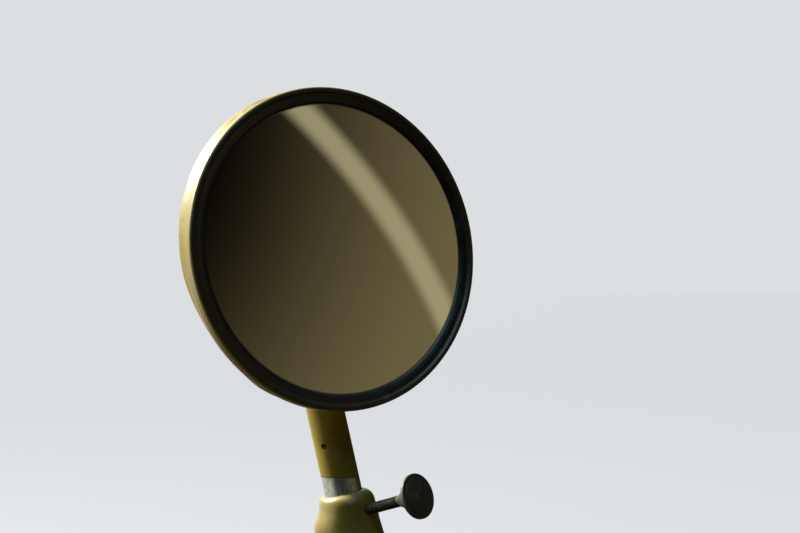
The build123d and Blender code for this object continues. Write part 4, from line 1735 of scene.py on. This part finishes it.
        def around(x: Array, grow: float) -> tuple[Array, Array]:
            """Gives Y and Z round the arm's section at each x, grown by a margin."""
            half_y, half_z, middle = (first[k] + slope[k] * (x - self.sections[0]) for k in range(3))
            return (half_y + grow) * np.cos(turn), middle + (half_z + grow) * np.sin(turn)

        corner = self.on_socket(*around(np.full(turn.shape, self.sections[0]), 0.0), 0.0)
        for _ in range(4):
            corner = self.on_socket(*around(corner[:, 0], 0.0), 0.0)
        start_x = corner[:, 0] + self.blend_mm
        start = np.stack([start_x, *around(start_x, -0.25)], -1)
        end = self.on_socket(*around(corner[:, 0], self.blend_mm), 0.15)
        inside = self.on_socket(*around(corner[:, 0], -2.0), 2.5)
        t = np.linspace(0, 1, 12)[None, :, None]
        front = (1 - t) ** 2 * start[:, None] + 2 * t * (1 - t) * corner[:, None] + t**2 * end[:, None]
        skin = Skin().add(np.concatenate([front, inside[:, None]], 1), WORLD)
        piece("bracket_blend", skin, self.finishes.bracket, Body.BRACKET)

    def build(self) -> None:
        """Builds the whole bracket."""
        self.blend(self.arm())
        self.socket()


@dataclass
class Studio:
    """Plain floor, one soft key light, a soft dome and the camera."""

    aim: tuple[float, float, float] = (-0.12, 0.0, 0.13)
    floor_gap: float = 0.03
    floor_r: float = 14.0
    camera_at: tuple[float, float, float] = (-0.09167, -0.72006, 0.16473)
    lens_mm: float = 72.0
    key_towards: tuple[float, float] = (162.0, 38.0)
    key_far: float = 1.35
    key_size: float = 0.36
    key_power: float = 90.0
    key_tint: str = "#fff8ea"
    backdrop: str = "#dcdfe2"
    fill: str = "#1b1812"
    dome: str = "#626a72"
    wall: str = "#d0d5d8"
    ground: str = "#62552e"
    sky: str = "#b4ecf8"
    shade: str = "#070503"
    lit_shade: str = "#564d34"
    bar: str = "#8f8768"
    dome_strength: float = 2.0

    def look(self, made: bpy.types.Object, place: Sequence[float], aim: Sequence[float]) -> None:
        """Stands an object at a place and points its -Z at an aim, Y up."""
        made.location = place
        made.rotation_euler = (Vector(aim) - Vector(place)).to_track_quat("-Z", "Y").to_euler()

    def camera(self) -> None:
        """Makes the camera: level, square to the row's X, at the photograph's distance and angle."""
        data = bpy.data.cameras.new("camera")
        data.sensor_width, data.lens = 36.0, self.lens_mm
        data.clip_start, data.clip_end = 0.01, 60.0
        made = linked("camera", data)
        x, y, z = self.camera_at
        self.look(made, self.camera_at, (x, y + 1, z))
        bpy.context.scene.camera = made

    def floor(self) -> None:
        """Lays a plain pale disc just below the object, which the dome lights as if it weren't there."""
        angle = np.linspace(0, FULL_TURN, 96, endpoint=False)
        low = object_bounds()[0].z - self.floor_gap
        ring = np.stack([self.floor_r * np.cos(angle), self.floor_r * np.sin(angle), 0 * angle + low], -1)
        mesh = bpy.data.meshes.new("floor")
        mesh.from_pydata(ring.tolist(), [], [list(range(len(ring)))])
        mesh.materials.append(OpalAcrylic("acrylic_opal", glow=self.backdrop).material())
        made = linked("floor", mesh)
        made.visible_diffuse = made.visible_glossy = False
        made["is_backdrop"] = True

    def key(self) -> None:
        """Hangs the soft key light, up to the left and a little behind."""
        data = bpy.data.lights.new("key", "AREA")
        data.shape, data.size = "DISK", self.key_size
        data.energy, data.color = self.key_power, linear(self.key_tint)[:3]
        made = linked("key", data)
        made.visible_camera = False
        self.look(made, tuple(np.array(self.aim) + self.key_far * np.array(towards(*self.key_towards))), self.aim)

    def dome_light(self) -> None:
        """Lights the object from a soft dome, and shows the camera a plain backdrop.

        The dome is dim all round and paler on top, with a wide panel behind on the left, bright above and sandy
        below, and a smaller blue one high in front. Where the glass looks, a warm gradient darkens to the left. A
        soft bar crosses it along a great circle: it fades with the distance from that circle's plane, whose normal
        is the cross product of two directions on it.
        """
        world = bpy.data.worlds.new("studio")
        world.use_nodes = True
        tree = world.node_tree
        tree.nodes.clear()
        eased = {"interpolation_type": "SMOOTHSTEP"}
        way = add(tree, "TexCoord")
        height = add(tree, "SeparateXYZ", way).node.outputs["Z"]
        top = add(tree, "MapRange", height, 0.5, 0.9, **eased)
        tone = add(tree, "Mix", top, self.fill, self.dome, data_type="RGBA")
        upper = add(tree, "MapRange", height, -0.5, -0.2)
        behind = add(tree, "Mix", upper, self.ground, self.wall, data_type="RGBA")
        tone = add(tree, "Mix", lobe(tree, way, towards(151, 0), 81, 59), tone, behind, data_type="RGBA")
        tone = add(tree, "Mix", lobe(tree, way, towards(-72, 46), 26, 11), tone, self.sky, data_type="RGBA")
        across = add(tree, "VectorMath", way, (0.25, 0.8, -0.6), operation="DOT_PRODUCT")
        share = add(tree, "MapRange", across, -0.6, 0.1, **eased)
        warm = add(tree, "Mix", share, self.shade, self.lit_shade, data_type="RGBA")
        seen = lobe(tree, way, towards(-30, 12), 40, 26)
        tone = add(tree, "Mix", seen, tone, warm, data_type="RGBA")
        normal = np.cross(towards(-27.5, 29), towards(-12.3, 5))
        off = add(tree, "VectorMath", way, normal / np.linalg.norm(normal), operation="DOT_PRODUCT")
        off = add(tree, "Math", off, operation="ABSOLUTE")
        bar = add(tree, "Math", add(tree, "MapRange", off, 0.05, 0.01, 0.0, 0.7, **eased), seen, operation="MULTIPLY")
        tone = add(tree, "Mix", bar, tone, self.bar, data_type="RGBA")
        dome = add(tree, "Background", tone, self.dome_strength)
        plain = add(tree, "Background", self.backdrop, 1.0)
        camera = add(tree, "LightPath").node.outputs["Is Camera Ray"]
        add(tree, "OutputWorld", add(tree, "MixShader", camera, dome, plain))
        bpy.context.scene.world = world

    def build(self) -> None:
        """Sets up camera, floor and lights, and shows colours as they are."""
        self.camera()
        self.floor()
        self.key()
        self.dome_light()
        bpy.context.scene.view_settings.view_transform = "Standard"


def write_sizes() -> None:
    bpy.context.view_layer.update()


def main() -> None:
    """Builds the mirror, then the studio round it."""
    logging.basicConfig(level=logging.INFO, format="%(name)s: %(message)s")
    layout = Layout.read()
    column = layout.column
    finishes = Finishes(
        olive=OliveEnamel("alkyd_enamel_olive_drab", sheen=0.42, lustre=0.3),
        cast=OliveEnamel("alkyd_enamel_on_casting", peel_mm=1.1, peel_depth_mm=0.05, sheen=0.3),
        stem=StemEnamel(
            "alkyd_enamel_on_drawn_tube",
            film="#6c5e16",
            lustre=0.15,
            foot=tuple(column.at(z=layout.mouth).origin),
            chip=tuple(column.place(Stem.chip.middle(layout, Stem.radius))),
            chip_r=Stem.chip.radius,
        ),
        bracket=BracketEnamel(
            "alkyd_enamel_on_sand_casting",
            peel_mm=1.2,
            peel_depth_mm=0.07,
            wear=0.17,
            bolts=((-0.009, 0.0, -0.025), (-0.009, 0.0, 0.025)),
        ),
        rim=RimEnamel("stoving_enamel_on_rim", middle=tuple(layout.head.origin)),
        rubber=Rubber("moulded_rubber_black"),
        glass=SilveredGlass("float_glass_silvered", middle=tuple(layout.head.at(z=2.0).origin)),
        screw=OiledSteel("turned_steel_oil_blackened"),
        steel=OiledSteel("fastener_steel_blackened", black="#38332b", rusty=0.9, metal=0.75),
        fibre=VulcanisedFibre("vulcanised_fibre"),
    )
    for part in (MirrorHead, SwivelJoint, Stem, LockScrew, Bracket):
        part(layout, finishes).build()
    write_sizes()
    Studio().build()


if __name__ == "__main__":
    main()
